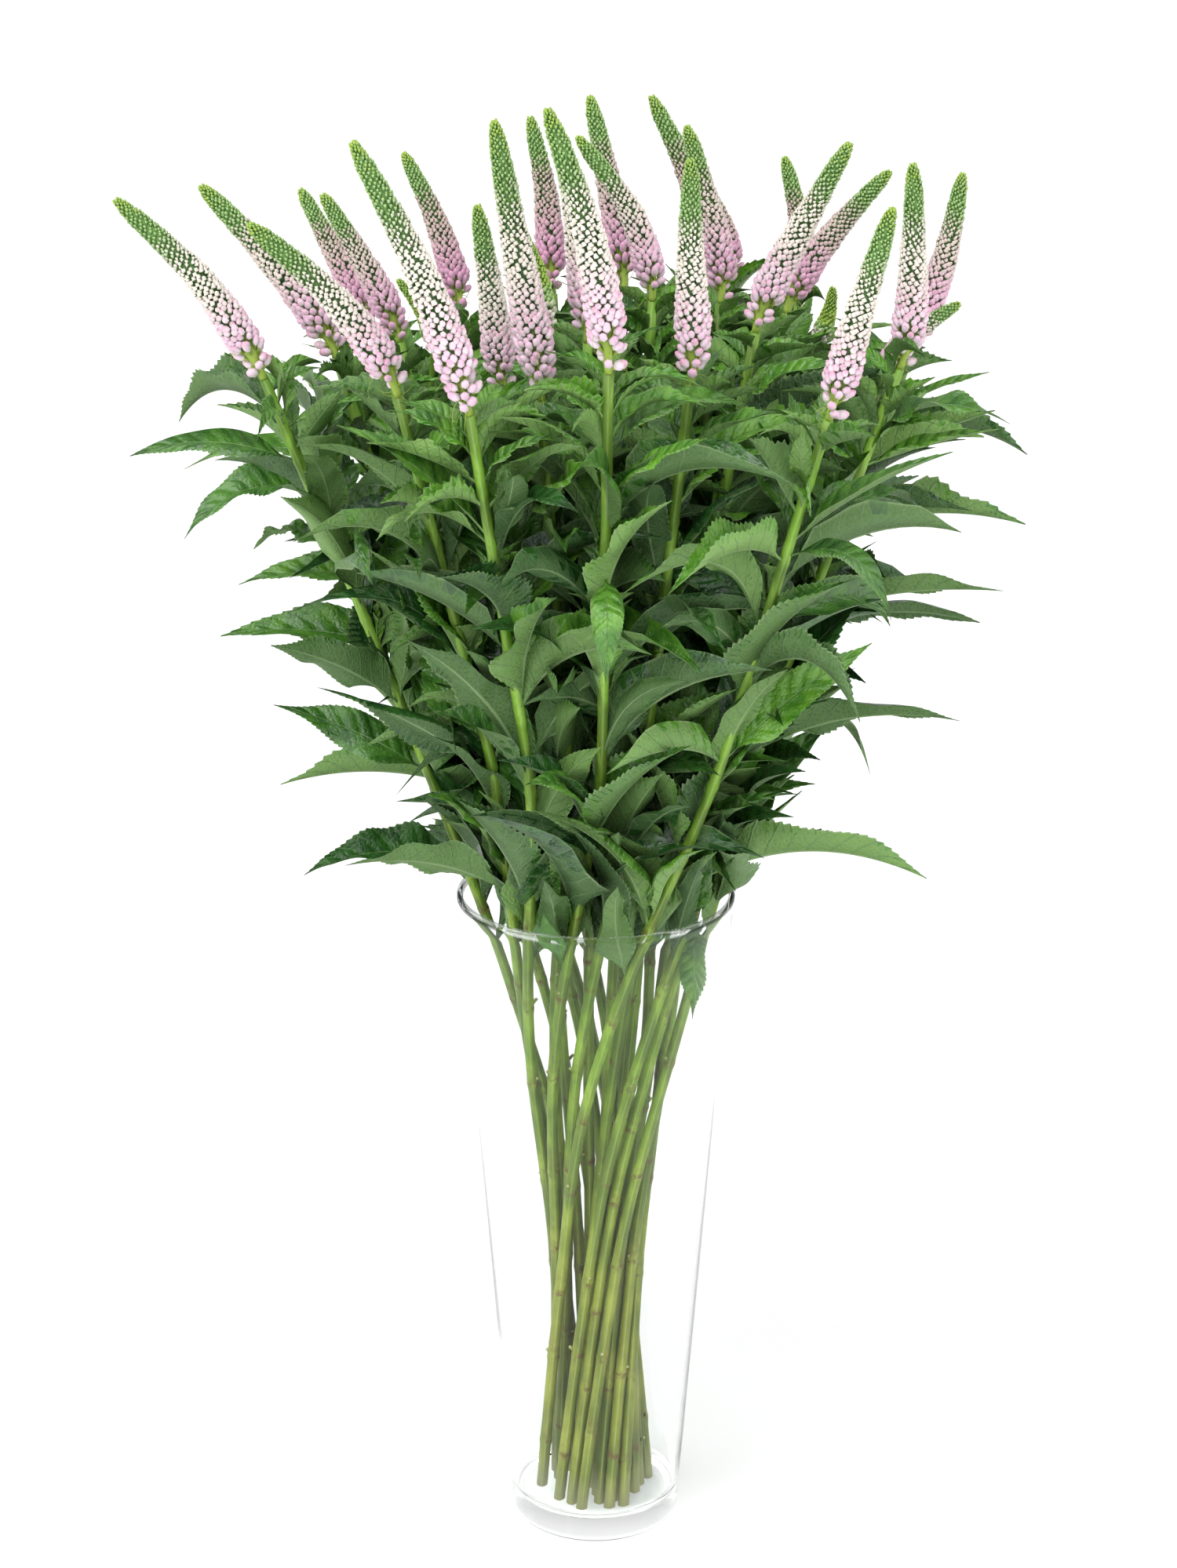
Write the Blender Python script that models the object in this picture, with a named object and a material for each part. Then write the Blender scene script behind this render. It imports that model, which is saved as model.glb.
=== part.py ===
"""A bunch of speedwell standing in a tall clear glass vase, in metres, +Z up.

The origin is the middle of the vase's flat underside. The stems stand on the vase's floor as a
hand-tied spiral: they draw together at a waist low in the vase, cross, and fan out over the rim.
Each leafy stem is one solid, with its leaves joined to it. Each flower spike is a second solid,
because its colour differs, and it sits face to face on the top of its stem.
"""

import math

import bpy
import numpy as np
from mathutils.bvhtree import BVHTree

MM = 0.001
SEED = 25
UP = np.array((0.0, 0.0, 1.0))

# Vase: a straight cone with a thick rounded foot and a fire-polished rim.
VASE_HEIGHT = 350 * MM
RIM_RADIUS = 70 * MM
FOOT_RADIUS = 43.5 * MM
FOOT_ROUND = 7 * MM
WALL = 3 * MM
FLOOR = 14 * MM
VASE_SIDES = 32

# The bunch: its width at each height, as a share of its width at the flower necks, and its turn.
WAIST_HEIGHT = 140 * MM
WAIST_SHARE = 0.141
OPENING_UP = 1.48
OPENING_DOWN = 0.77
RIM_BEND = 0.9
RIM_BEND_HEIGHT = 330 * MM
RIM_BEND_LENGTH = 30 * MM
TWIST = math.radians(130)
TWIST_FROM = -50 * MM
TWIST_TO = 450 * MM
TOUCH = 0.3 * MM

# A stem is slightly thicker at its cut end than at its neck.
STEM_RADIUS_CUT = 2.8 * MM
STEM_RADIUS_NECK = 2.3 * MM
SHOOT_RADIUS = 1.4 * MM
STEM_SIDES = 5
STEM_STEPS = 8

# A flower spike: buds stand in staggered rows on a tapering core.
SPIKE_RADIUS = 8.8 * MM
SPIKE_LENGTH = 105 * MM
YOUNG_SPIKE_RADIUS = 5.1 * MM
SPIKE_SIDES = 8
BUD_ROW = 12 * MM
BUD_RELIEF = 0.32
SPIKE_BEND = 0.3

# Leaves: two coarse teeth on each side of a folded blade. The small ones under the flower are plain.
LEAF_LENGTH = (112 * MM, 88 * MM)
USUAL_LEAF_LENGTH = 100 * MM
LEAF_WIDTH_SHARE = 0.275
RIB_THICKNESS = 1.3 * MM
PETIOLE_WIDTH = 2.4 * MM
ROOT_DEPTH = 1.6 * MM
ROOT_CLEAR = 7 * MM
LOWEST_NODE = 340 * MM
NODE_SPACING = 40 * MM
LARGE_LEAVES_END = 70 * MM
SMALL_LEAF_LENGTH = 48 * MM
SMALL_LEAF_DEPTHS = (24 * MM, 46 * MM)
OUTER_NECK = 170 * MM
STEEPEST_START = math.radians(72)
SHOULDER_RADIUS = 108 * MM
SHOULDER_HEIGHT = 416 * MM
SHOULDER_SLOPE = 0.52
LEAF_ATTEMPTS = 40
LEAF_CLEARANCE = 1.1 * MM
REACHING_STRAY = 26 * MM

# Each stem: where its neck is and where its spike ends, in millimetres from the vase's axis.
# x runs to the right, y away from the viewer, z up from the table.
STEMS = (
    dict(neck=(-155, -45, 620), tip=(-211, -55, 706)),
    dict(neck=(-125, 15, 617), tip=(-192, 22, 700)),
    dict(neck=(-89, -115, 627), tip=(-147, -140, 709)),
    dict(neck=(-116, 112, 612), tip=(-152, 138, 680)),
    dict(neck=(-97, 60, 616), tip=(-137, 75, 688)),
    dict(neck=(-56, -148, 626), tip=(-101, -163, 748)),
    dict(neck=(-68, 115, 620), tip=(-93, 135, 698)),
    dict(neck=(-25, -105, 623), tip=(-48, -120, 750)),
    dict(neck=(-43, -55, 614), tip=(-53, -60, 704)),
    dict(neck=(-22, 130, 627), tip=(-28, 155, 714)),
    dict(neck=(5, -150, 645), tip=(-16, -170, 762)),
    dict(neck=(-4, -20, 632), tip=(-15, -15, 734)),
    dict(neck=(14, 82, 638), tip=(-6, 102, 731)),
    dict(neck=(27, 16, 645), tip=(-1, 30, 722)),
    dict(neck=(56, 108, 633), tip=(34, 128, 728)),
    dict(neck=(42, -110, 632), tip=(37, -115, 733)),
    dict(neck=(61, 47, 638), tip=(41, 53, 724)),
    dict(neck=(70, 150, 630), tip=(58, 172, 680)),
    dict(neck=(103, 120, 625), tip=(99, 140, 696)),
    dict(neck=(75, -20, 637), tip=(121, -20, 726)),
    dict(neck=(95, 78, 627), tip=(146, 84, 697)),
    dict(neck=(103, -127, 619), tip=(125, -147, 716)),
    dict(neck=(142, -36, 623), tip=(142, -46, 721)),
    dict(neck=(157, 56, 616), tip=(184, 66, 699)),
    dict(neck=(138, 10, 610), tip=(171, 15, 645)),
)

# Side shoots that carry a young spike: the stem, the height that they leave it, and the spike's ends.
SHOOTS = (
    dict(stem=5, leaves=560, neck=(-79, 32, 618), tip=(-93, 30, 654)),
    dict(stem=9, leaves=560, neck=(-24, -38, 640), tip=(-36, -34, 694)),
    dict(stem=21, leaves=570, neck=(108, 60, 615), tip=(118, 55, 645)),
)

# Leaves that shape the bunch's outline and front: the stem, the height of the root, where the tip
# ends in millimetres, how far the blade bows over its chord, and how it is turned about its rib.
REACHING_LEAVES = (
    dict(stem=23, root=365, tip=(160, -62, 378), bow=0.12, roll=-0.7),
    dict(stem=23, root=378, tip=(100, -66, 434), bow=0.14, roll=0.8),
    dict(stem=23, root=430, tip=(176, -36, 450), bow=0.09, roll=-0.9),
    dict(stem=22, root=440, tip=(130, -66, 498), bow=0.04, roll=0.9),
    dict(stem=22, root=485, tip=(120, -134, 480), bow=0.29, roll=-0.5),
    dict(stem=22, root=550, tip=(133, -134, 528), bow=0.3, roll=0.3),
    dict(stem=25, root=528, tip=(208, -6, 540), bow=0.1, roll=-0.7),
    dict(stem=24, root=566, tip=(212, 30, 566), bow=0.15, roll=-0.4),
    dict(stem=23, root=590, tip=(192, -60, 602), bow=0.18, roll=0.2),
    dict(stem=24, root=475, tip=(192, 32, 480), bow=0.09, roll=-0.7),
    dict(stem=23, root=500, tip=(193, -50, 519), bow=0.06, roll=-0.9),
    dict(stem=25, root=588, tip=(173, 26, 614), bow=0.15, roll=0.1),
    dict(stem=25, root=432, tip=(138, 20, 404), bow=0.3, roll=0.0),
    dict(stem=1, root=455, tip=(-152, -84, 502), bow=0.05, roll=1.0),
    dict(stem=2, root=462, tip=(-186, 14, 478), bow=0.09, roll=-0.7),
    dict(stem=1, root=418, tip=(-157, -26, 455), bow=0.05, roll=-1.0),
    dict(stem=3, root=430, tip=(-130, -92, 484), bow=0.05, roll=0.6),
    dict(stem=2, root=398, tip=(-158, 10, 402), bow=0.09, roll=0.8),
    dict(stem=1, root=362, tip=(-143, -40, 372), bow=0.12, roll=-0.7),
    dict(stem=3, root=362, tip=(-119, -90, 395), bow=0.08, roll=0.9),
    dict(stem=1, root=530, tip=(-168, 12, 523), bow=0.18, roll=0.0),
    dict(stem=1, root=562, tip=(-192, -72, 550), bow=0.21, roll=-0.5),
    dict(stem=1, root=578, tip=(-220, -40, 582), bow=0.11, roll=-0.4),
    dict(stem=1, root=598, tip=(-201, 2, 589), bow=0.23, roll=-0.3),
    dict(stem=2, root=556, tip=(-203, 34, 558), bow=0.15, roll=-0.5),
    dict(stem=2, root=500, tip=(-176, 12, 505), bow=0.11, roll=-0.6),
    dict(stem=11, root=390, tip=(44, -112, 462), bow=0.08, roll=0.7),
    dict(stem=11, root=350, tip=(-22, -104, 416), bow=0.1, roll=0.0),
    dict(stem=16, root=350, tip=(-74, -92, 402), bow=0.06, roll=-1.1),
    dict(stem=22, root=352, tip=(51, -104, 408), bow=0.1, roll=0.3),
    dict(stem=3, root=445, tip=(-88, -98, 476), bow=0.24, roll=0.6),
    dict(stem=11, root=545, tip=(4, -142, 500), bow=0.34, roll=0.0),
    dict(stem=14, root=470, tip=(68, -42, 544), bow=0.1, roll=-0.4),
    dict(stem=11, root=604, tip=(69, -112, 621), bow=0.2, roll=0.4),
    dict(stem=11, root=600, tip=(-40, -104, 605), bow=0.26, roll=-0.3),
    dict(stem=14, root=545, tip=(72, -30, 588), bow=0.16, roll=0.3),
    dict(stem=8, root=550, tip=(-44, -72, 590), bow=0.16, roll=0.4),
    dict(stem=6, root=560, tip=(-101, -102, 557), bow=0.26, roll=0.2),
    dict(stem=25, root=340, tip=(50, -32, 292), bow=0.2, roll=0.5),
)


def clear_scene():
    for obj in list(bpy.data.objects):
        bpy.data.objects.remove(obj)


def material(name, colour, roughness, metallic=0.0):
    made = bpy.data.materials.new(name)
    made.use_nodes = True
    shader = made.node_tree.nodes["Principled BSDF"]
    shader.inputs["Base Color"].default_value = (*colour, 1)
    shader.inputs["Roughness"].default_value = roughness
    shader.inputs["Metallic"].default_value = metallic
    return made


def add_object(name, points, faces, surface):
    """A closed mesh from triangles or polygons, smooth apart from its sharper edges."""
    mesh = bpy.data.meshes.new(name)
    mesh.from_pydata([tuple(p) for p in points], [], [tuple(int(i) for i in f) for f in faces])
    mesh.materials.append(surface)
    mesh.shade_smooth()
    mesh.set_sharp_from_angle(angle=math.radians(50))
    obj = bpy.data.objects.new(name, mesh)
    bpy.context.scene.collection.objects.link(obj)
    return obj


def unit(v):
    return v / np.linalg.norm(v, axis=-1, keepdims=True)


# The bunch's flow


def spread(z):
    """Width of the bunch at height z: a hyperbola about the waist, and a smooth outward bend at the rim."""
    z = np.asarray(z, float)
    rise = z - WAIST_HEIGHT
    opening = np.where(rise > 0, OPENING_UP, OPENING_DOWN)
    over_rim = z - RIM_BEND_HEIGHT
    bend = (over_rim + np.sqrt(over_rim**2 + RIM_BEND_LENGTH**2)) / 2
    return np.sqrt(WAIST_SHARE**2 + (opening * rise) ** 2) + RIM_BEND * bend


def turn(z):
    """How far the bunch has still to turn at height z before it stops above the rim, in radians."""
    t = np.clip((np.asarray(z, float) - TWIST_FROM) / (TWIST_TO - TWIST_FROM), 0, 1)
    return -TWIST * (1 - t * t * (3 - 2 * t))


def stem_axis(neck, z):
    """Points of a stem's axis at heights z. All stems follow one flow, so none of them meet."""
    z = np.asarray(z, float)
    share = spread(z) / spread(neck[2])
    cos, sin = np.cos(turn(z)), np.sin(turn(z))
    x = (neck[0] * cos - neck[1] * sin) * share
    y = (neck[0] * sin + neck[1] * cos) * share
    return np.stack([x, y, z], axis=-1)


def stem_direction(neck, z):
    step = 2 * MM
    return unit(stem_axis(neck, z + step) - stem_axis(neck, z - step))


def stem_radius(z, neck_z):
    return STEM_RADIUS_CUT + (STEM_RADIUS_NECK - STEM_RADIUS_CUT) * np.asarray(z) / neck_z


# Tubes


def ring_frames(axis):
    """Two vectors square to each point of an axis, carried along it without twisting."""
    tangents = unit(np.gradient(axis, axis=0))
    side = unit(np.cross(tangents[0], (0.0, 1.0, 0.0)))
    sides = []
    for tangent in tangents:
        side = unit(side - tangent * (side @ tangent))
        sides.append(side)
    sides = np.array(sides)
    return sides, np.cross(tangents, sides)


def rings_about(axis, radius, count):
    """Rings of count points about an axis. radius has a value for each ring, or for each point."""
    side, other = ring_frames(axis)
    angle = np.linspace(0, 2 * math.pi, count, endpoint=False)
    radius = np.broadcast_to(np.reshape(radius, (len(axis), -1)), (len(axis), count))[..., None]
    around = np.cos(angle)[:, None] * side[:, None] + np.sin(angle)[:, None] * other[:, None]
    return axis[:, None] + radius * around


def lofted(rings):
    """Points and triangles of a closed skin over rings of equal size, with flat fans as its ends."""
    count, size = rings.shape[:2]
    points = np.concatenate([rings.reshape(-1, 3), rings[:1].mean(1), rings[-1:].mean(1)])
    start, end = count * size, count * size + 1
    faces = []
    for row in range(count - 1):
        for i in range(size):
            a, b = row * size + i, row * size + (i + 1) % size
            c, d = a + size, b + size
            faces += [(a, b, d), (a, d, c)] if (row + i) % 2 else [(a, b, c), (b, d, c)]
    last = (count - 1) * size
    for i in range(size):
        j = (i + 1) % size
        faces.append((start, j, i))
        faces.append((end, last + i, last + j))
    return points, faces


def stem_tube(neck):
    """The bare stem: a tube with its cut end flat on the vase's floor."""
    heights = np.linspace(FLOOR + TOUCH, neck[2], STEM_STEPS)
    rings = rings_about(stem_axis(neck, heights), stem_radius(heights, neck[2]), STEM_SIDES)
    rings[0, :, 2] = heights[0]
    return lofted(rings)


def arc(start, bend, end, t):
    """Points at shares t of a quadratic curve that leaves start towards bend and ends at end."""
    t = np.asarray(t, float)[:, None]
    return (1 - t) ** 2 * start + 2 * t * (1 - t) * bend + t**2 * end


def shoot_bend(stem_neck, shoot):
    """Where a side shoot turns from its stem's direction towards its own spike."""
    root = stem_axis(stem_neck, shoot["leaves"] * MM)
    return root + np.array((0.45, 0.45, 0.55)) * (np.array(shoot["neck"]) * MM - root)


def shoot_tube(stem_neck, shoot):
    root = stem_axis(stem_neck, shoot["leaves"] * MM)
    neck = np.array(shoot["neck"]) * MM
    line = arc(root, shoot_bend(stem_neck, shoot), neck, np.linspace(0, 1, 4))
    return lofted(rings_about(line, np.full(len(line), SHOOT_RADIUS), STEM_SIDES))


# Spikes


def spike_taper(t):
    """Share of a spike's full radius: full a third of the way up, then a long taper to a blunt tip."""
    t = np.asarray(t, float)
    swell = 0.8 + 0.2 * np.sin(np.clip(t / 0.32, 0, 1) * math.pi / 2)
    taper = 1 - 0.68 * np.clip((t - 0.28) / 0.72, 0, 1) ** 1.35
    return swell * taper


def spike_solid(neck, direction, tip, neck_radius, full_radius):
    """The core with its buds as relief: every second point of each row stands out as a bud.

    The spike leaves its stem in the stem's own direction and bends towards its tip.
    """
    base = neck + direction * TOUCH
    bend = base + direction * SPIKE_BEND * np.linalg.norm(tip - base)
    rows = max(4, round(np.linalg.norm(tip - base) / BUD_ROW))
    t = np.concatenate([[0.0], np.linspace(0.035, 0.97, rows), [1.0]])
    radius = np.repeat(full_radius * spike_taper(t)[:, None], SPIKE_SIDES, axis=1)
    radius[0] = neck_radius
    radius[-1] = 0.3 * radius[-2]
    row, place = np.indices(radius.shape)
    hollow = ((row + place) % 2 == 1) & (row > 0) & (row < len(t) - 1)
    radius[hollow] *= 1 - BUD_RELIEF
    return lofted(rings_about(arc(base, bend, tip, t), radius, SPIKE_SIDES))


def main_spike(stem):
    """A shorter spike is also a slimmer one."""
    neck, tip = np.array(stem["neck"]) * MM, np.array(stem["tip"]) * MM
    slimness = min(1.05, 0.5 + 0.5 * np.linalg.norm(tip - neck) / SPIKE_LENGTH)
    direction = stem_direction(neck, neck[2])
    return spike_solid(neck, direction, tip, STEM_RADIUS_NECK, SPIKE_RADIUS * slimness)


def young_spike(stem_neck, shoot):
    neck = np.array(shoot["neck"]) * MM
    direction = unit(neck - shoot_bend(stem_neck, shoot))
    return spike_solid(neck, direction, np.array(shoot["tip"]) * MM, SHOOT_RADIUS, YOUNG_SPIKE_RADIUS)


# Leaves


def leaf_line(leaf, t):
    """Centre line, side and upward vectors of a leaf at shares t of its length.

    The line is an arc from root to tip that bows over its chord. The blade turns about it, from its
    stalk on, by the leaf's roll.
    """
    root, tip = leaf["root"], leaf["tip"]
    chord = tip - root
    side = unit(np.cross(UP, chord))
    over = unit(np.cross(chord, side))
    length = np.linalg.norm(chord)
    bend = (root + tip) / 2 + (2 * leaf["bow"] * over + leaf["sway"] * side) * length
    line = arc(root, bend, tip, t)
    t = np.asarray(t, float)[:, None]
    ahead = unit((1 - t) * (bend - root) + t * (tip - bend))
    side = unit(side - ahead * (ahead @ side)[:, None])
    over = np.cross(ahead, side)
    roll = leaf["roll"] * np.clip(t / 0.3, 0, 1)
    cos, sin = np.cos(roll), np.sin(roll)
    return line, side * cos + over * sin, over * cos - side * sin


# Shares of the length at which the rib and the margin have a point, and the blade's half width there.
# The first of each is the end of the stalk.
TOOTHED = dict(
    rib=(0.05, 0.3, 0.64),
    margin=(0.05, 0.34, 0.39, 0.63, 0.68),
    width=(0.0, 1.0, 0.84, 0.8, 0.62),
    wave=(0.0, 0.1, 0.06, -0.1, -0.06),
)
PLAIN = dict(rib=(0.08, 0.5), margin=(0.08, 0.42), width=(0.0, 1.0), wave=(0.0, 0.0))


def leaf_solid(leaf, grown=0.0):
    """A blade folded along its rib, thick at the rib and thin at the margins, with a pointed root.

    The root is sunk past the middle of the stem. grown makes the blade larger all round, for
    measuring how clear it is of its neighbours.
    """
    plan = TOOTHED if leaf["toothed"] else PLAIN
    half = leaf["width"] / 2
    ends, _, _ = leaf_line(leaf, (0.0, 0.02, 1.0))
    root = ends[0] - unit(ends[1] - ends[0]) * ROOT_DEPTH
    rib, _, rib_up = leaf_line(leaf, plan["rib"])
    thick = (RIB_THICKNESS / 2 + grown) * rib_up
    edge, side, up = leaf_line(leaf, plan["margin"])
    width = np.maximum(half * np.array(plan["width"]), PETIOLE_WIDTH / 2) + grown
    across = (width * math.cos(leaf["fold"]))[:, None] * side
    lift = (width * math.sin(leaf["fold"]) + half * np.array(plan["wave"]))[:, None] * up
    left, right = edge + across + lift, edge - across + lift
    points = np.concatenate([[root], rib + thick, rib - thick, left, right, ends[2:]])
    n, m, end = len(rib), len(edge), len(points) - 1
    faces = []
    for rib_start, is_under in ((1, False), (1 + n, True)):
        for margin_start, is_right in ((1 + 2 * n, False), (1 + 2 * n + m, True)):
            rib_points = range(rib_start, rib_start + n)
            margin_points = range(margin_start, margin_start + m)
            strip = zipped(rib_points, plan["rib"], margin_points, plan["margin"], end)
            faces += [f[::-1] if is_under != is_right else f for f in strip]
    return points, faces


def zipped(rib, rib_at, margin, margin_at, end):
    """Triangles between the rib's points and a margin's, which share the root, point 0, and the tip."""
    faces, i, j = [(0, rib[0], margin[0])], 0, 0
    while i < len(rib) - 1 or j < len(margin) - 1:
        along_rib = i < len(rib) - 1 and (j == len(margin) - 1 or rib_at[i + 1] <= margin_at[j + 1])
        if along_rib:
            faces.append((rib[i], rib[i + 1], margin[j]))
            i += 1
        else:
            faces.append((rib[i], margin[j + 1], margin[j]))
            j += 1
    return faces + [(rib[i], end, margin[j])]


def leaf_places(index, neck):
    """Where leaves grow on one stem: height, heading and whether it is a small one under the flower."""
    outwards = math.atan2(neck[1], neck[0])
    places, z, node = [], LOWEST_NODE + (index % 4) * 8 * MM, index
    while z < neck[2] - LARGE_LEAVES_END:
        places.append((z, outwards + (0.5, -1.3, 1.3, -0.5)[node % 4], False))
        z += NODE_SPACING
        node += 1
    for i, depth in enumerate(SMALL_LEAF_DEPTHS):
        places.append((neck[2] - depth, outwards + (1.2, -0.9)[i] + 0.4 * (index % 3), True))
    return places


def strays(*key):
    """Ten seeded draws between -1 and 1."""
    return np.random.default_rng([SEED, *key]).uniform(-1, 1, 10)


def rule_leaf(index, number, attempt, neck, z, heading, small):
    """One way for a leaf to grow. Later attempts stray further, climb more and are shorter."""
    draw = strays(index, number, attempt)
    haste = attempt / LEAF_ATTEMPTS
    height = np.clip((z - LOWEST_NODE) / (neck[2] - LOWEST_NODE), 0, 1)
    length = SMALL_LEAF_LENGTH if small else LEAF_LENGTH[0] + (LEAF_LENGTH[1] - LEAF_LENGTH[0]) * height
    length *= 1 + 0.12 * draw[0] - 0.3 * haste
    heading = heading + draw[1] * (0.4 + 1.2 * haste)
    outer = np.hypot(neck[0], neck[1]) / OUTER_NECK
    climb = 0.6 - 0.25 * outer + 0.5 * draw[2] + 0.45 * haste
    reach = np.array((np.cos(climb) * np.cos(heading), np.cos(climb) * np.sin(heading), np.sin(climb)))
    root = stem_axis(neck, z)
    return dict(
        root=root,
        tip=root + length * reach,
        bow=min(0.19 + 0.09 * draw[3], math.tan(max(STEEPEST_START - climb, 0.05)) / 4),
        sway=0.14 * draw[4],
        roll=1.2 * draw[5],
        fold=0.4 + 0.22 * draw[6],
        width=length * LEAF_WIDTH_SHARE * (0.8 if small else 1 + 0.12 * draw[7]),
        toothed=not small,
    )


def inside_shoulder(leaf):
    """Whether a leaf's tip is inside the outline that the bunch has without its reaching leaves."""
    x, y, z = leaf["tip"]
    return math.hypot(x, y) < SHOULDER_RADIUS + SHOULDER_SLOPE * (z - SHOULDER_HEIGHT)


def reaching_leaf(number, attempt, necks, plan):
    """A planned leaf. Later attempts move its tip and turn it until it is clear of its neighbours."""
    draw = strays(100 + number, attempt)
    haste = attempt / LEAF_ATTEMPTS
    root = stem_axis(necks[plan["stem"] - 1], plan["root"] * MM)
    tip = np.array(plan["tip"]) * MM + REACHING_STRAY * haste * draw[:3]
    return dict(
        root=root,
        tip=tip,
        bow=plan["bow"] + 0.12 * haste * draw[3],
        sway=0.06 * draw[4],
        roll=plan["roll"] + 0.9 * haste * draw[5],
        fold=0.36 + 0.14 * draw[6],
        width=LEAF_WIDTH_SHARE * math.sqrt(np.linalg.norm(tip - root) * USUAL_LEAF_LENGTH),
        toothed=True,
    )


def tree_of(points, faces):
    return BVHTree.FromPolygons([tuple(p) for p in points], [tuple(f) for f in faces])


class Surroundings:
    """What is already placed, as search trees with their boxes and the stem that each belongs to."""

    def __init__(self):
        self.trees, self.lows, self.highs, self.owners = [], [], [], []

    def add(self, points, faces, owner):
        self.trees.append(tree_of(points, faces))
        self.lows.append(points.min(0))
        self.highs.append(points.max(0))
        self.owners.append(owner)

    def meets(self, points, faces, skip=None):
        if not self.trees:
            return False
        low, high = points.min(0), points.max(0)
        near = (np.array(self.lows) <= high).all(1) & (np.array(self.highs) >= low).all(1)
        tree = tree_of(points, faces)
        for i in np.flatnonzero(near):
            if self.owners[i] != skip and self.trees[i].overlap(tree):
                return True
        return False


def beyond_root(leaf, grown):
    """A leaf's grown shape without its root, for comparing it with its own stem's other leaves."""
    points, faces = leaf_solid(leaf, grown)
    keep = np.linalg.norm(points - leaf["root"], axis=1) > ROOT_CLEAR
    return points, [f for f in faces if all(keep[i] for i in f)]


def roots_apart(leaf, others):
    """Whether a leaf leaves its stem clear of what else grows there: further along it, or round it."""
    for other in others:
        apart = np.linalg.norm(leaf["root"] - other["root"])
        ahead, other_ahead = unit(leaf["tip"] - leaf["root"]), unit(other["tip"] - other["root"])
        if apart < ROOT_CLEAR and ahead @ other_ahead > 0.3:
            return False
    return True


def grown_leaves(necks, solids):
    """Every leaf that finds room, by stem: first the reaching ones, then the rest from the rim upwards."""
    around = Surroundings()
    for owner, shape in solids:
        around.add(*shape, owner)
    own = [Surroundings() for _ in necks]
    branches = [[] for _ in necks]
    for shoot in SHOOTS:
        index = shoot["stem"] - 1
        own[index].add(*shoot_tube(necks[index], shoot), index)
        start = stem_axis(necks[index], shoot["leaves"] * MM)
        branches[index].append(dict(root=start, tip=np.array(shoot["neck"]) * MM))
    found = [[] for _ in necks]

    def grow(index, ways):
        for leaf in ways:
            shape = leaf_solid(leaf, LEAF_CLEARANCE)
            outer = beyond_root(leaf, LEAF_CLEARANCE)
            if not roots_apart(leaf, branches[index] + found[index]):
                continue
            if around.meets(*shape, skip=index) or own[index].meets(*outer):
                continue
            around.add(*shape, index)
            own[index].add(*outer, index)
            found[index].append(leaf)
            return

    for number, plan in enumerate(REACHING_LEAVES):
        ways = (reaching_leaf(number, attempt, necks, plan) for attempt in range(LEAF_ATTEMPTS))
        grow(plan["stem"] - 1, ways)
    order = [
        (z, index, number, heading, small)
        for index, neck in enumerate(necks)
        for number, (z, heading, small) in enumerate(leaf_places(index, neck))
    ]
    for z, index, number, heading, small in sorted(order):
        ways = (
            rule_leaf(index, number, attempt, necks[index], z, heading, small)
            for attempt in range(LEAF_ATTEMPTS)
        )
        grow(index, filter(inside_shoulder, ways))
    return found


def joined(name, shapes, surface):
    """One solid from several shapes that overlap, by a Boolean union with a collection of them."""
    base = add_object(name, *shapes[0], surface)
    helpers = bpy.data.collections.new(name + "_repeats")
    bpy.context.scene.collection.children.link(helpers)
    for i, shape in enumerate(shapes[1:]):
        repeat = add_object(f"{name}_repeat_{i}", *shape, surface)
        bpy.context.scene.collection.objects.unlink(repeat)
        helpers.objects.link(repeat)
    union = base.modifiers.new("join", "BOOLEAN")
    union.operation = "UNION"
    union.operand_type = "COLLECTION"
    union.collection = helpers
    union.solver = "EXACT"
    graph = bpy.context.evaluated_depsgraph_get()
    whole = bpy.data.meshes.new_from_object(base.evaluated_get(graph))
    base.modifiers.clear()
    base.data = whole
    for repeat in list(helpers.objects):
        bpy.data.objects.remove(repeat)
    bpy.data.collections.remove(helpers)
    return base


# Vase


def vase_profile():
    """Outline of the glass from the middle of its underside, up the outside and down the inside."""
    slope = (RIM_RADIUS - FOOT_RADIUS) / VASE_HEIGHT
    corner = [
        (
            FOOT_RADIUS - FOOT_ROUND + FOOT_ROUND * math.sin(a),
            FOOT_ROUND - FOOT_ROUND * math.cos(a),
        )
        for a in np.linspace(0, math.pi / 2, 4)
    ]
    lip = [
        (
            RIM_RADIUS - WALL / 2 + WALL / 2 * math.cos(a),
            VASE_HEIGHT - WALL / 2 + WALL / 2 * math.sin(a),
        )
        for a in np.linspace(0, math.pi, 5)
    ]
    inner_foot = FOOT_RADIUS + slope * FLOOR - WALL
    inside = [
        (inner_foot + slope * 6 * MM, FLOOR + 6 * MM),
        (inner_foot - 2 * MM, FLOOR + 1.5 * MM),
        (inner_foot - 7 * MM, FLOOR),
    ]
    return np.array(corner + lip + inside)


def vase_shape():
    profile = vase_profile()
    angle = np.linspace(0, 2 * math.pi, VASE_SIDES, endpoint=False)
    rings = np.stack(
        [
            profile[:, :1] * np.cos(angle),
            profile[:, :1] * np.sin(angle),
            np.repeat(profile[:, 1:], VASE_SIDES, axis=1),
        ],
        axis=-1,
    )
    return lofted(rings)


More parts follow.
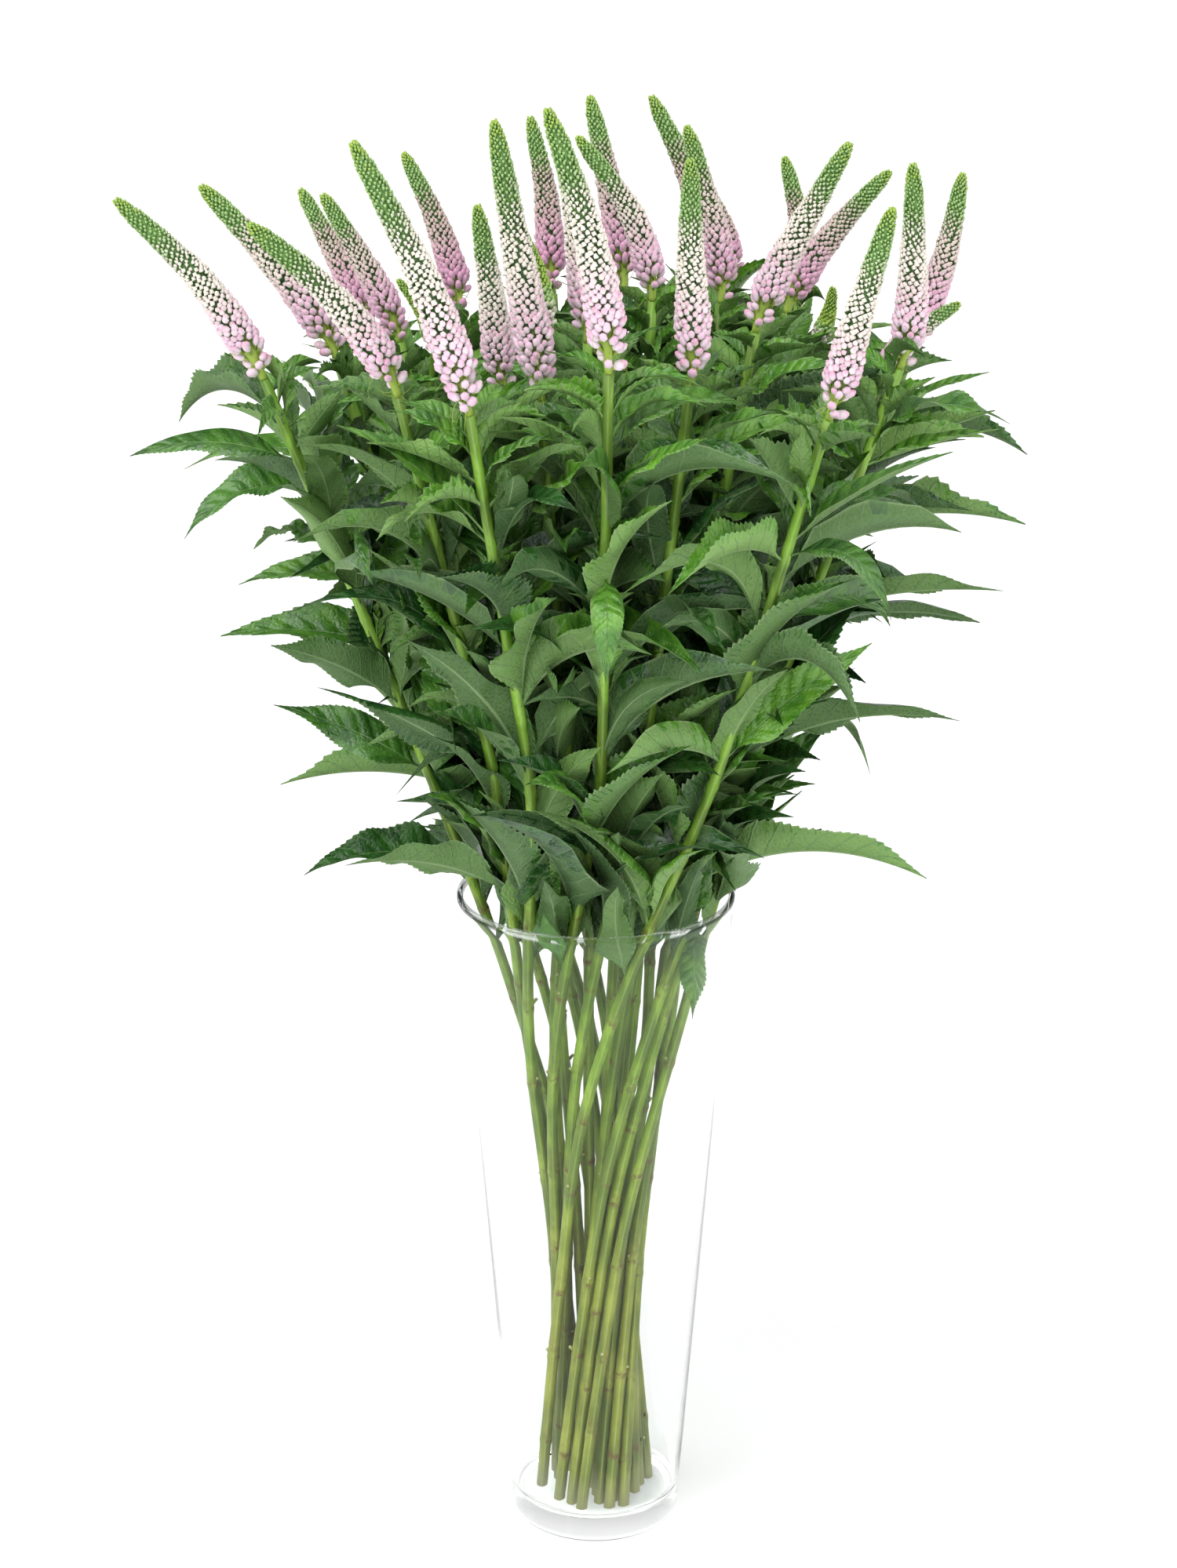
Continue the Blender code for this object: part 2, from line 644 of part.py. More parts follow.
def main():
    clear_scene()
    glass = material("clear glass", (0.93, 0.97, 0.96), 0.02)
    leaf_green = material("leaf green", (0.05, 0.17, 0.035), 0.5)
    bud_pink = material("bud pink", (0.82, 0.55, 0.66), 0.55)
    necks = [np.array(stem["neck"]) * MM for stem in STEMS]
    vase = vase_shape()
    stems = [[stem_tube(neck)] for neck in necks]
    spikes = [main_spike(stem) for stem in STEMS]
    for shoot in SHOOTS:
        stem_neck = necks[shoot["stem"] - 1]
        stems[shoot["stem"] - 1].append(shoot_tube(stem_neck, shoot))
        spikes.append(young_spike(stem_neck, shoot))
    solids = [("vase", vase)] + [("spike", spike) for spike in spikes]
    solids += [(index, shape) for index, shapes in enumerate(stems) for shape in shapes]
    leaves = grown_leaves(necks, solids)
    add_object("vase", *vase, glass)
    for number, (shapes, found) in enumerate(zip(stems, leaves), start=1):
        joined(f"stem_{number:02d}", shapes + [leaf_solid(leaf) for leaf in found], leaf_green)
    for number, spike in enumerate(spikes, start=1):
        add_object(f"spike_{number:02d}", *spike, bud_pink)


main()
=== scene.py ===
"""The looks of a bunch of speedwell in a tall clear glass vase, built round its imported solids.

Lengths are metres in the solids' own frame: +Z up from the middle of the vase's underside, +X to the
right and +Y away from the viewer.
"""

import math

import bpy
import numpy as np
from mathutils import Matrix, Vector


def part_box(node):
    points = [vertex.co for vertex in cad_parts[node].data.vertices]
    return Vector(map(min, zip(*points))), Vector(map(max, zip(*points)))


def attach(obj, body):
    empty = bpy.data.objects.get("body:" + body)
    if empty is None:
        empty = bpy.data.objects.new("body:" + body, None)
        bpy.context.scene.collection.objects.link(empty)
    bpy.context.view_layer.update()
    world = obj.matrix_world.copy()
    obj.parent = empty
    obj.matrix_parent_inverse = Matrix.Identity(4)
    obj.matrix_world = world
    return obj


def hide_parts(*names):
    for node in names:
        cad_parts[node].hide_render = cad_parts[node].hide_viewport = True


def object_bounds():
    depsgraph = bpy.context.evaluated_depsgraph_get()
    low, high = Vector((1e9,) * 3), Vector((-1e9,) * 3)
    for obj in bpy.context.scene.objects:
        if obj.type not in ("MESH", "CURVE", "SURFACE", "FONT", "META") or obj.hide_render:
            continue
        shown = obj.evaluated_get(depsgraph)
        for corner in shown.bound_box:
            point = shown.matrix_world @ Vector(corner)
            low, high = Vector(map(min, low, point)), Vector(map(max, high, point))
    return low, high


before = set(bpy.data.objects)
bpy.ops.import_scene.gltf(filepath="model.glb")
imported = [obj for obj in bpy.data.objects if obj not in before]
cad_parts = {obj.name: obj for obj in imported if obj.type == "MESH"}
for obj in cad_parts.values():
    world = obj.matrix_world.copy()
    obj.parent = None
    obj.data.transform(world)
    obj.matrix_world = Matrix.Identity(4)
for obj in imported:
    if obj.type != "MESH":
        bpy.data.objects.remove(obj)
cad_low, cad_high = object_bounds()

# Camera. It stands in front of the vase, a little above the flowers, and looks down at the leaves.
# The long side of the frame is upright, as in a portrait picture.
MM = 0.001
CAMERA_PLACE = (-3.7 * MM, -1681.7 * MM, 968.4 * MM)
CAMERA_TILT = math.radians(71.5)
FOCAL_LENGTH = 81.8
FILM_SIDE = 36


def set_up(name, data):
    """An object of this name in the scene, with this mesh, lamp or camera."""
    made = bpy.data.objects.new(name, data)
    bpy.context.scene.collection.objects.link(made)
    return made


camera = set_up("camera", bpy.data.cameras.new("camera"))
camera.data.lens = FOCAL_LENGTH
camera.data.sensor_width = FILM_SIDE
camera.location = CAMERA_PLACE
camera.rotation_euler = (CAMERA_TILT, 0, 0)
bpy.context.scene.camera = camera


# Vase. One piece of clear blown glass: a plain cone that stands on a thick foot with a rounded corner.
# The inside floor is level and the rim is fire-polished into a round lip, a little thicker than the wall.
VASE_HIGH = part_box("vase")[1]
VASE_HEIGHT = VASE_HIGH.z
RIM_RADIUS = VASE_HIGH.x
FOOT_RADIUS = 43.5 * MM
FOOT_ROUND = 7 * MM
WALL = 3 * MM
LIP_RADIUS = 1.6 * MM
LIP_STARTS = 9 * MM
SEE_THROUGH_FROM = 4.5 * MM
SEE_THROUGH_FULL = 2.5 * MM
FLOOR = 14 * MM
FLOOR_ROUND = 9 * MM
VASE_SIDES = 96


def skins(rings, paint=None, **values):
    """Closed skins over stacks of rings, given as an array (skins, rings, points of a ring, 3).

    Neighbouring rings are joined by quads and each end by a fan to the middle of its ring, which faces
    out where a ring runs counterclockwise about the way ahead. values are numbers for each point, and
    paint is the material's number for each place round a ring.
    """
    copies, count, size = rings.shape[:3]
    i = np.arange(size)
    j = (i + 1) % size
    rows = np.arange(count - 1)[:, None] * size
    quads = np.stack([rows + i, rows + j, rows + size + j, rows + size + i], axis=-1).reshape(-1, 4)
    start, last = count * size, (count - 1) * size
    fans = np.concatenate(
        [
            np.stack([np.full(size, start), j, i], axis=-1),
            np.stack([np.full(size, start + 1), last + i, last + j], axis=-1),
        ]
    )
    offsets = (np.arange(copies) * (start + 2))[:, None, None]

    def with_ends(numbers):
        numbers = np.broadcast_to(numbers, rings.shape[:3])
        ends = numbers[:, (0, -1)].mean(axis=2)
        return np.concatenate([numbers.reshape(copies, -1), ends], axis=1).ravel()

    paint = np.zeros(size, int) if paint is None else np.asarray(paint)
    return dict(
        points=np.stack([with_ends(rings[..., axis]) for axis in range(3)], axis=-1),
        quads=(quads + offsets).reshape(-1, 4),
        fans=(fans + offsets).reshape(-1, 3),
        quad_paint=np.tile(paint, (count - 1) * copies),
        fan_paint=np.tile(paint, 2 * copies),
        values={name: with_ends(value) for name, value in values.items()},
    )


def add_piece(name, parts, materials, nodes):
    """One mesh from several skins, with their values as point attributes, riding on the vase's body.

    Edges between points at a leaf's margin, where across is 1 or -1, stay sharp.
    """
    counts = np.cumsum([0] + [len(part["points"]) for part in parts])
    quads = np.concatenate([part["quads"] + n for part, n in zip(parts, counts)])
    fans = np.concatenate([part["fans"] + n for part, n in zip(parts, counts)])
    paint = [part[key] for key in ("quad_paint", "fan_paint") for part in parts]
    mesh = bpy.data.meshes.new(name)
    mesh.from_pydata(np.concatenate([part["points"] for part in parts]), [], quads.tolist() + fans.tolist())
    for material in materials:
        mesh.materials.append(material)
    mesh.polygons.foreach_set("material_index", np.concatenate(paint).astype(np.int32))
    values = {key: np.concatenate([part["values"][key] for part in parts]) for key in parts[0]["values"]}
    for key, numbers in values.items():
        mesh.attributes.new(key, "FLOAT", "POINT").data.foreach_set("value", numbers)
    mesh.shade_smooth()
    if "across" in values:
        ends = np.zeros(len(mesh.edges) * 2, np.int32)
        mesh.edges.foreach_get("vertices", ends)
        at_margin = np.abs(values["across"]) > 0.99
        sharp = mesh.attributes.new("sharp_edge", "BOOLEAN", "EDGE")
        sharp.data.foreach_set("value", at_margin[ends.reshape(-1, 2)].all(axis=1))
    piece = set_up(name, mesh)
    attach(piece, "root")
    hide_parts(*nodes)


def arc(centre, radii, start, end, count):
    """Points of an ellipse's arc in the (radius, height) plane, from one angle to another in degrees."""
    angle = np.radians(np.linspace(start, end, count))
    return np.array(centre) + np.array(radii) * np.stack([np.cos(angle), np.sin(angle)], axis=-1)


def straight(start, end, count):
    """Points between two (radius, height) places, without the places themselves."""
    return np.array(start) + np.linspace(0, 1, count + 2)[1:-1, None] * (np.array(end) - np.array(start))


def glass_outline():
    """Outline of the glass: along its underside, up the outside, over the lip, down to the inside floor."""
    slope = (RIM_RADIUS - FOOT_RADIUS) / VASE_HEIGHT
    corner = arc((FOOT_RADIUS - FOOT_ROUND, FOOT_ROUND), (FOOT_ROUND, FOOT_ROUND), -90, 0, 9)
    lip = arc((RIM_RADIUS - LIP_RADIUS, VASE_HEIGHT - LIP_RADIUS), (LIP_RADIUS, LIP_RADIUS), -20, 200, 13)
    inner = FOOT_RADIUS + slope * (FLOOR + FLOOR_ROUND) - WALL
    neck_height = VASE_HEIGHT - LIP_STARTS
    neck = FOOT_RADIUS + slope * neck_height
    bend = arc((inner - FLOOR_ROUND, FLOOR + FLOOR_ROUND), (FLOOR_ROUND, FLOOR_ROUND), 0, -90, 9)
    return np.concatenate(
        [
            corner,
            straight(corner[-1], (neck, neck_height), 10),
            [(neck, neck_height)],
            lip,
            [(neck - WALL, neck_height)],
            straight((neck - WALL, neck_height), bend[0], 10),
            bend,
        ]
    )


def angles(count):
    """Even angles round a full turn."""
    return np.linspace(0, 2 * math.pi, count, endpoint=False)


def turned(outline, sides):
    """Rings of an outline turned about the vase's axis: (radius cos a, radius sin a, height)."""
    angle = angles(sides)
    radius, height = outline[:, :1], outline[:, 1:]
    flat = [radius * np.cos(angle), radius * np.sin(angle), np.repeat(height, sides, axis=1)]
    return np.stack(flat, axis=-1)[None]


def feed(socket, value):
    """Links another node's output to a socket, or sets the socket to a number or colour."""
    if isinstance(value, bpy.types.NodeSocket):
        socket.id_data.links.new(value, socket)
    else:
        socket.default_value = value


def feed_all(node, **inputs):
    """Feeds a node's inputs, which are named by their labels, with _ for a space."""
    for key, value in inputs.items():
        feed(node.inputs[key.replace("_", " ")], value)


def add_node(tree, kind, settings=(), **inputs):
    """A shader node with its settings and inputs."""
    made = tree.nodes.new("ShaderNode" + kind)
    for key, value in dict(settings).items():
        setattr(made, key, value)
    feed_all(made, **inputs)
    return made


def new_material(name, **constants):
    """A material, its node tree and its Principled shader with these inputs."""
    made = bpy.data.materials.new(name)
    made.use_nodes = True
    shader = made.node_tree.nodes["Principled BSDF"]
    feed_all(shader, **constants)
    return made, made.node_tree, shader


def calc(tree, operation, first, second=0.0, third=0.0):
    """The result of one Math node."""
    made = add_node(tree, "Math", dict(operation=operation))
    for socket, value in zip(made.inputs, (first, second, third)):
        feed(socket, value)
    return made.outputs[0]


def times(tree, first, second):
    """The product of two numbers."""
    return calc(tree, "MULTIPLY", first, second)


def eased(tree, value, low, high):
    """0 below low, 1 above high and a smooth step between them."""
    step = dict(interpolation_type="SMOOTHSTEP")
    made = add_node(tree, "MapRange", step, Value=value, From_Min=low, From_Max=high)
    return made.outputs["Result"]


def faded(tree, value, low, high):
    """1 below low, 0 above high and a smooth step between them."""
    return calc(tree, "SUBTRACT", 1.0, eased(tree, value, low, high))


def tint(tree, share, low, high):
    """A colour between low and high. Plain colours are three numbers."""
    made = add_node(tree, "Mix", dict(data_type="RGBA"), Factor=share)
    for socket, value in ((made.inputs[6], low), (made.inputs[7], high)):
        feed(socket, value if isinstance(value, bpy.types.NodeSocket) else (*value, 1))
    return made.outputs[2]


def coated(tree, colour, *coats):
    """A colour under coats of others. Each coat is where it lies, how much it hides, and its colour."""
    for where, cover, coat in coats:
        colour = tint(tree, times(tree, where, cover), colour, coat)
    return colour


def place(tree, stretch=(1, 1, 1)):
    """The point's place on the object, in metres times stretch."""
    where = add_node(tree, "TexCoord").outputs["Object"]
    return add_node(tree, "Mapping", Vector=where, Scale=stretch).outputs[0]


def noise(tree, scale, detail=2.0, stretch=(1, 1, 1)):
    """Soft random blotches, scale of them to a metre."""
    where = place(tree, stretch)
    return add_node(tree, "TexNoise", Vector=where, Scale=scale, Detail=detail).outputs["Fac"]


def bump(tree, shader, height, distance):
    """Relief of this many metres on a shader's normal."""
    feed_all(shader, Normal=add_node(tree, "Bump", Height=height, Distance=distance).outputs[0])


def clear_glass():
    """Colourless glass with the faint ripple of blown ware, and a dull bloom where hands held it.

    It mirrors less of the white room than glass does, which would lie as a veil over the stems. A lamp's
    light goes straight through it, as it nearly does through a thin wall. So do three fifths of what is
    seen through the lip, which would else be a dark line at both ends of the rim.
    """
    made, tree, shader = new_material("clear glass", Base_Color=(0.99, 1.0, 0.995, 1), IOR=1.5)
    feed_all(shader, Transmission_Weight=1.0, Specular_Tint=(0.3, 0.3, 0.3, 1))
    drawn_up = (1, 1, 0.35)
    bloom = eased(tree, noise(tree, 14, 4, drawn_up), 0.55, 0.8)
    feed_all(shader, Roughness=times(tree, bloom, 0.05))
    bump(tree, shader, noise(tree, 18, 0, drawn_up), 0.6 * MM)
    height = add_node(tree, "SeparateXYZ", Vector=place(tree)).outputs["Z"]
    at_lip = eased(tree, height, VASE_HEIGHT - SEE_THROUGH_FROM, VASE_HEIGHT - SEE_THROUGH_FULL)
    in_shadow = add_node(tree, "LightPath").outputs["Is Shadow Ray"]
    let_through = add_node(tree, "MixShader")
    feed(let_through.inputs[0], calc(tree, "MAXIMUM", in_shadow, times(tree, at_lip, 0.62)))
    feed(let_through.inputs[1], shader.outputs[0])
    feed(let_through.inputs[2], add_node(tree, "BsdfTransparent", Color=(0.98, 1.0, 0.99, 1)).outputs[0])
    feed_all(tree.nodes["Material Output"], Surface=let_through.outputs[0])
    return made


add_piece("glass_vase", [skins(turned(glass_outline(), VASE_SIDES))], [clear_glass()], ["vase"])


# Stalks. Each is one square-ribbed green stem, cut flat, stripped of its leaves below the rim and stood on
# the vase's floor. The bunch crosses at a waist low in the vase and fans out over the rim like a sheaf.
SEED = 25
UP = np.array((0.0, 0.0, 1.0))
WAIST_HEIGHT = 140 * MM
WAIST_SHARE = 0.141
OPENING_UP = 1.48
OPENING_DOWN = 0.77
RIM_BEND = 0.9
RIM_BEND_HEIGHT = 330 * MM
RIM_BEND_LENGTH = 30 * MM
TWIST = math.radians(130)
TWIST_FROM = -50 * MM
TWIST_TO = 450 * MM
TOUCH = 0.3 * MM
STEM_RADIUS_CUT = 2.8 * MM
STEM_RADIUS_NECK = 2.3 * MM
SHOOT_RADIUS = 1.4 * MM
STUB_RADII = np.array((1.3, 1.0, 0.85, 0.8)) * MM
STEM_SIDES = 12
STEM_RINGS = 32
LOWEST_NODE = 340 * MM
NODE_SPACING = 40 * MM
SCAR_SPACING = 52 * MM

# Each stem: where its neck is and where its spike ends, in millimetres from the vase's axis.
STEMS = (
    (-155, -45, 620, -211, -55, 706),
    (-125, 15, 617, -192, 22, 700),
    (-89, -115, 627, -147, -140, 709),
    (-116, 112, 612, -152, 138, 680),
    (-97, 60, 616, -137, 75, 688),
    (-56, -148, 626, -101, -163, 748),
    (-68, 115, 620, -93, 135, 698),
    (-25, -105, 623, -48, -120, 750),
    (-43, -55, 614, -53, -60, 704),
    (-22, 130, 627, -28, 155, 714),
    (5, -150, 645, -16, -170, 762),
    (-4, -20, 632, -15, -15, 734),
    (14, 82, 638, -6, 102, 731),
    (27, 16, 645, -1, 30, 722),
    (56, 108, 633, 34, 128, 728),
    (42, -110, 632, 37, -115, 733),
    (61, 47, 638, 41, 53, 724),
    (70, 150, 630, 58, 172, 680),
    (103, 120, 625, 99, 140, 696),
    (75, -20, 637, 121, -20, 726),
    (95, 78, 627, 146, 84, 697),
    (103, -127, 619, 125, -147, 716),
    (142, -36, 623, 142, -46, 721),
    (157, 56, 616, 184, 66, 699),
    (138, 10, 610, 171, 15, 645),
)
NECKS = np.array(STEMS)[:, :3] * MM
TIPS = np.array(STEMS)[:, 3:] * MM

# Side shoots that carry a young spike: their stem's number from 0, the height where they leave it, and
# their neck and tip, in millimetres.
SHOOTS = [
    dict(stem=stem, from_height=height * MM, neck=np.array(neck) * MM, tip=np.array(tip) * MM)
    for stem, height, neck, tip in (
        (4, 560, (-79, 32, 618), (-93, 30, 654)),
        (8, 560, (-24, -38, 640), (-36, -34, 694)),
        (20, 570, (108, 60, 615), (118, 55, 645)),
    )
]


def unit(v):
    """Vectors over their own lengths."""
    return v / np.linalg.norm(v, axis=-1, keepdims=True)


def smooth(t):
    """A smooth step from 0 to 1."""
    t = np.clip(t, 0, 1)
    return t * t * (3 - 2 * t)


def spread(z):
    """Width of the bunch at height z: a hyperbola about the waist, and a smooth outward bend at the rim."""
    rise = np.asarray(z, float) - WAIST_HEIGHT
    opening = np.where(rise > 0, OPENING_UP, OPENING_DOWN)
    over_rim = rise + WAIST_HEIGHT - RIM_BEND_HEIGHT
    bend = (over_rim + np.sqrt(over_rim**2 + RIM_BEND_LENGTH**2)) / 2
    return np.sqrt(WAIST_SHARE**2 + (opening * rise) ** 2) + RIM_BEND * bend


def turn(z):
    """How far the bunch has still to turn at height z before it stops above the rim, in radians."""
    return -TWIST * (1 - smooth((z - TWIST_FROM) / (TWIST_TO - TWIST_FROM)))


def stem_axis(neck, z):
    """Points of a stem's axis at heights z: its neck, drawn in by the bunch's width and turned with it."""
    z = np.asarray(z, float)
    share = spread(z) / spread(neck[2])
    cos, sin = np.cos(turn(z)), np.sin(turn(z))
    x = (neck[0] * cos - neck[1] * sin) * share
    y = (neck[0] * sin + neck[1] * cos) * share
    return np.stack([x, y, z], axis=-1)


def stem_direction(neck, z):
    """The way that a stem grows at a height."""
    return unit(stem_axis(neck, z + 2 * MM) - stem_axis(neck, z - 2 * MM))


def circles(side, other, sides):
    """Points of unit circles at even angles a: cos a side + sin a other."""
    angle = angles(sides)[:, None]
    return np.cos(angle) * side[..., None, :] + np.sin(angle) * other[..., None, :]


def rings_about(axis, radius, sides):
    """Rings square to an axis: axis + radius (cos a side + sin a other), with a radius by ring or point."""
    ahead = unit(np.gradient(axis, axis=0))
    side = unit(np.cross(ahead, (0.0, 1.0, 0.0)))
    radius = np.broadcast_to(np.reshape(radius, (len(axis), -1)), (len(axis), sides))[..., None]
    return axis[:, None] + radius * circles(side, np.cross(ahead, side), sides)


def curve(start, bend, end, t):
    """Points at shares t of a quadratic curve that leaves start towards bend and ends at end."""
    t = np.asarray(t, float)[:, None]
    return (1 - t) ** 2 * start + 2 * t * (1 - t) * bend + t**2 * end


def seeded(*key):
    """Random draws that are the same on each run."""
    return np.random.default_rng([SEED, *key])


def leafy_joints(index, top):
    """Heights of a stem's joints above the rim, where its leaf pairs grow, up to a top height."""
    return np.arange(LOWEST_NODE + (index % 4) * 8 * MM, top, NODE_SPACING)


def joints_of(index, neck):
    """Heights of a stem's joints: its leaf pairs above the rim, and the scars of the stripped ones below."""
    leafy = leafy_joints(index, neck[2] - 20 * MM)
    scars = leafy[0] - SCAR_SPACING * np.arange(1, 7) + 7 * MM * seeded(40, index).uniform(-1, 1, 6)
    return np.concatenate([scars[scars > 34 * MM], leafy])


def stalk(index, neck):
    """A stem's skin. Its radius shrinks evenly upwards, swells at each joint and has four low ribs."""
    joints = joints_of(index, neck)
    near = (joints[:, None] + np.array((-4, -1.6, 0, 2)) * MM).ravel()
    bottom = FLOOR + TOUCH
    heights = np.unique(np.concatenate([np.linspace(bottom, neck[2], STEM_RINGS), near]))
    heights = heights[(heights >= bottom) & (heights <= neck[2])]
    swell = np.exp(-(((heights[:, None] - joints) / (2.2 * MM)) ** 2)).max(axis=1)
    radius = STEM_RADIUS_CUT + (STEM_RADIUS_NECK - STEM_RADIUS_CUT) * heights / neck[2]
    around = np.linspace(0, 1, STEM_SIDES, endpoint=False)
    rib = np.abs(np.cos(2 * math.pi * around * 2)) ** 8
    relief = 0.95 + 0.1 * rib + 0.16 * swell[:, None]
    rings = rings_about(stem_axis(neck, heights), radius[:, None] * relief, STEM_SIDES)
    rings[0, :, 2] = bottom
    cut = (heights < bottom + 0.1 * MM).astype(float)[:, None]
    values = dict(rib=rib, joint=swell[:, None], cut=cut, along=heights[:, None])
    return skins(rings[None], **values)


def shoot_bend(shoot):
    """Where a side shoot turns from its stem's direction towards its own spike."""
    root = stem_axis(NECKS[shoot["stem"]], shoot["from_height"])
    return root + np.array((0.45, 0.45, 0.55)) * (shoot["neck"] - root)


def shoot_stalk(shoot):
    """A side shoot's skin: a thin round tube along a curve that leaves its stem."""
    root = stem_axis(NECKS[shoot["stem"]], shoot["from_height"])
    line = curve(root, shoot_bend(shoot), shoot["neck"], np.linspace(0, 1, 14))
    values = dict(rib=0.3, joint=0.0, cut=0.0, along=line[None, :, 2:])
    return skins(rings_about(line, np.full(len(line), SHOOT_RADIUS), 8)[None], **values)


def stubs(index, neck):
    """Cut leaf stalks at the joints inside the vase: short tapered pegs in opposite pairs.

    Some are torn off. A peg's rings are square to a line that leaves the stem's axis steeply.
    """
    draws = seeded(41, index)
    found = []
    for joint in joints_of(index, neck):
        heading = draws.uniform(0, 2 * math.pi)
        for side in (0, math.pi):
            length, keep = draws.uniform(2.2, 5.5) * MM, draws.uniform()
            if joint > VASE_HEIGHT - 25 * MM or keep < 0.55:
                continue
            out = np.array((math.cos(heading + side), math.sin(heading + side), 1.1))
            root = stem_axis(neck, joint)
            steps = np.linspace(0, 1, 4)[:, None]
            line = root + unit(out) * (STEM_RADIUS_CUT * 0.5 + steps * length)
            values = dict(rib=0.4, joint=0.3, cut=(steps == 1).astype(float), along=joint)
            found.append(skins(rings_about(line, STUB_RADII, 7)[None], **values))
    return found


def point_values(tree, *names):
    """The numbers that a piece's points hold under these names."""
    return [add_node(tree, "Attribute", dict(attribute_name=name)).outputs["Fac"] for name in names]


def stalk_green():
    """Yellow-green skin, brighter towards the flowers, with pale ribs, brown joint scars and a pale cut."""
    made, tree, shader = new_material("stalk green", Specular_IOR_Level=0.45)
    rib, joint, cut, along = point_values(tree, "rib", "joint", "cut", "along")
    streak = noise(tree, 900, 3, (1, 1, 0.06))
    blotch = eased(tree, noise(tree, 38, 3), 0.3, 0.7)
    own_tone = eased(tree, noise(tree, 130, 1, (1, 1, 0.12)), 0.42, 0.62)
    low = tint(tree, blotch, (0.13, 0.16, 0.013), (0.27, 0.3, 0.04))
    middle = tint(tree, blotch, (0.13, 0.25, 0.015), (0.26, 0.42, 0.045))
    high = tint(tree, blotch, (0.17, 0.37, 0.03), (0.3, 0.54, 0.07))
    skin = tint(tree, eased(tree, along, 0.1, 0.3), low, middle)
    skin = tint(tree, eased(tree, along, 0.36, 0.5), skin, high)
    scarred = times(tree, joint, eased(tree, noise(tree, 260), 0.42, 0.62))
    scarred = times(tree, scarred, faded(tree, along, 0.34, 0.4))
    skin = coated(
        tree,
        skin,
        (own_tone, 0.62, (0.06, 0.105, 0.012)),
        (eased(tree, streak, 0.45, 0.75), 0.4, (0.09, 0.17, 0.03)),
        (eased(tree, rib, 0.55, 1.0), 0.28, (0.45, 0.58, 0.2)),
        (scarred, 0.95, (0.12, 0.06, 0.02)),
    )
    feed_all(shader, Base_Color=tint(tree, cut, skin, (0.33, 0.34, 0.14)))
    feed_all(shader, Roughness=calc(tree, "MULTIPLY_ADD", streak, 0.25, 0.32))
    bump(tree, shader, streak, 0.15 * MM)
    return made


stalk_skin = stalk_green()
for number, neck in enumerate(NECKS):
    parts = [stalk(number, neck)] + stubs(number, neck)
    parts += [shoot_stalk(shoot) for shoot in SHOOTS if shoot["stem"] == number]
    add_piece(f"stalk_{number + 1:02d}", parts, [stalk_skin], [f"stem_{number + 1:02d}"])


# Flower spikes. Buds grow on a green core in a spiral, each in a green cup of sepals. The lowest are large,
# pink and apart, the middle ones cream, and the top is packed with tiny green buds that have yet to swell.
SPIKE_RADIUS = 8.8 * MM
SPIKE_LENGTH = 105 * MM
YOUNG_SPIKE_RADIUS = 5.1 * MM
SPIKE_BEND = 0.3
SPIKE_HOOK = 11 * MM
GOLDEN_ANGLE = math.pi * (3 - math.sqrt(5))
BUD_WIDTHS = (4.7 * MM, 1.45 * MM)
THREADS = 12
THREAD_RADIUS = 0.22 * MM

# The shapes of a bud: shares of its length, and of its half width there. The lowest have a thin stalk.
# Each kind is used up to a share of the spike's length, and has so many sides.
BUD_SHAPES = (
    (0.3, 6, ((0.0, 0.3), (0.25, 0.45), (0.5, 1.0), (0.82, 0.88), (1.0, 0.3))),
    (0.5, 5, ((0.0, 0.6), (0.3, 1.05), (0.72, 1.05), (1.03, 0.2))),
    (0.7, 4, ((0.0, 0.8), (0.55, 1.3), (1.05, 0.2))),
    (1.01, 3, ((0.0, 1.35), (0.95, 0.75))),
)


def spike_taper(t):
    """Share of a spike's full radius: full a third of the way up, then a long taper to a blunt tip."""
    swell = 0.8 + 0.2 * np.sin(np.clip(t / 0.32, 0, 1) * math.pi / 2)
    return swell * (1 - 0.58 * np.clip((t - 0.25) / 0.75, 0, 1) ** 1.25)


def across(ahead):
    """Two vectors square to each of these unit vectors and to each other."""
    side = unit(np.cross(ahead, (0.31, 0.17, 0.93)))
    return side, np.cross(ahead, side)


def pods(root, ahead, length, width, shape, sides, **values):
    """Many like pods: rings at shares of the length with shares of the half width, turned about each axis."""
    side, other = across(ahead)
    shares = np.array(shape)
    middle = root[:, None] + shares[:, 0, None] * (length[:, None] * ahead)[:, None]
    thick = (shares[:, 1] * width[:, None] / 2)[..., None, None]
    whole = middle[:, :, None] + thick * circles(side, other, sides)[:, None]
    values = {name: value[:, None, None] for name, value in values.items()}
    return skins(whole, petal=shares[:, :1], **values)


def spike_line(base, bend, tip, hook, t):
    """The middle of a spike at shares t and its direction there: an arc whose upper end hooks aside."""
    line = curve(base, bend, tip, t) + smooth((t[:, None] - 0.55) / 0.7) * hook
    return line, unit((1 - t[:, None]) * (bend - base) + t[:, None] * (tip - bend))


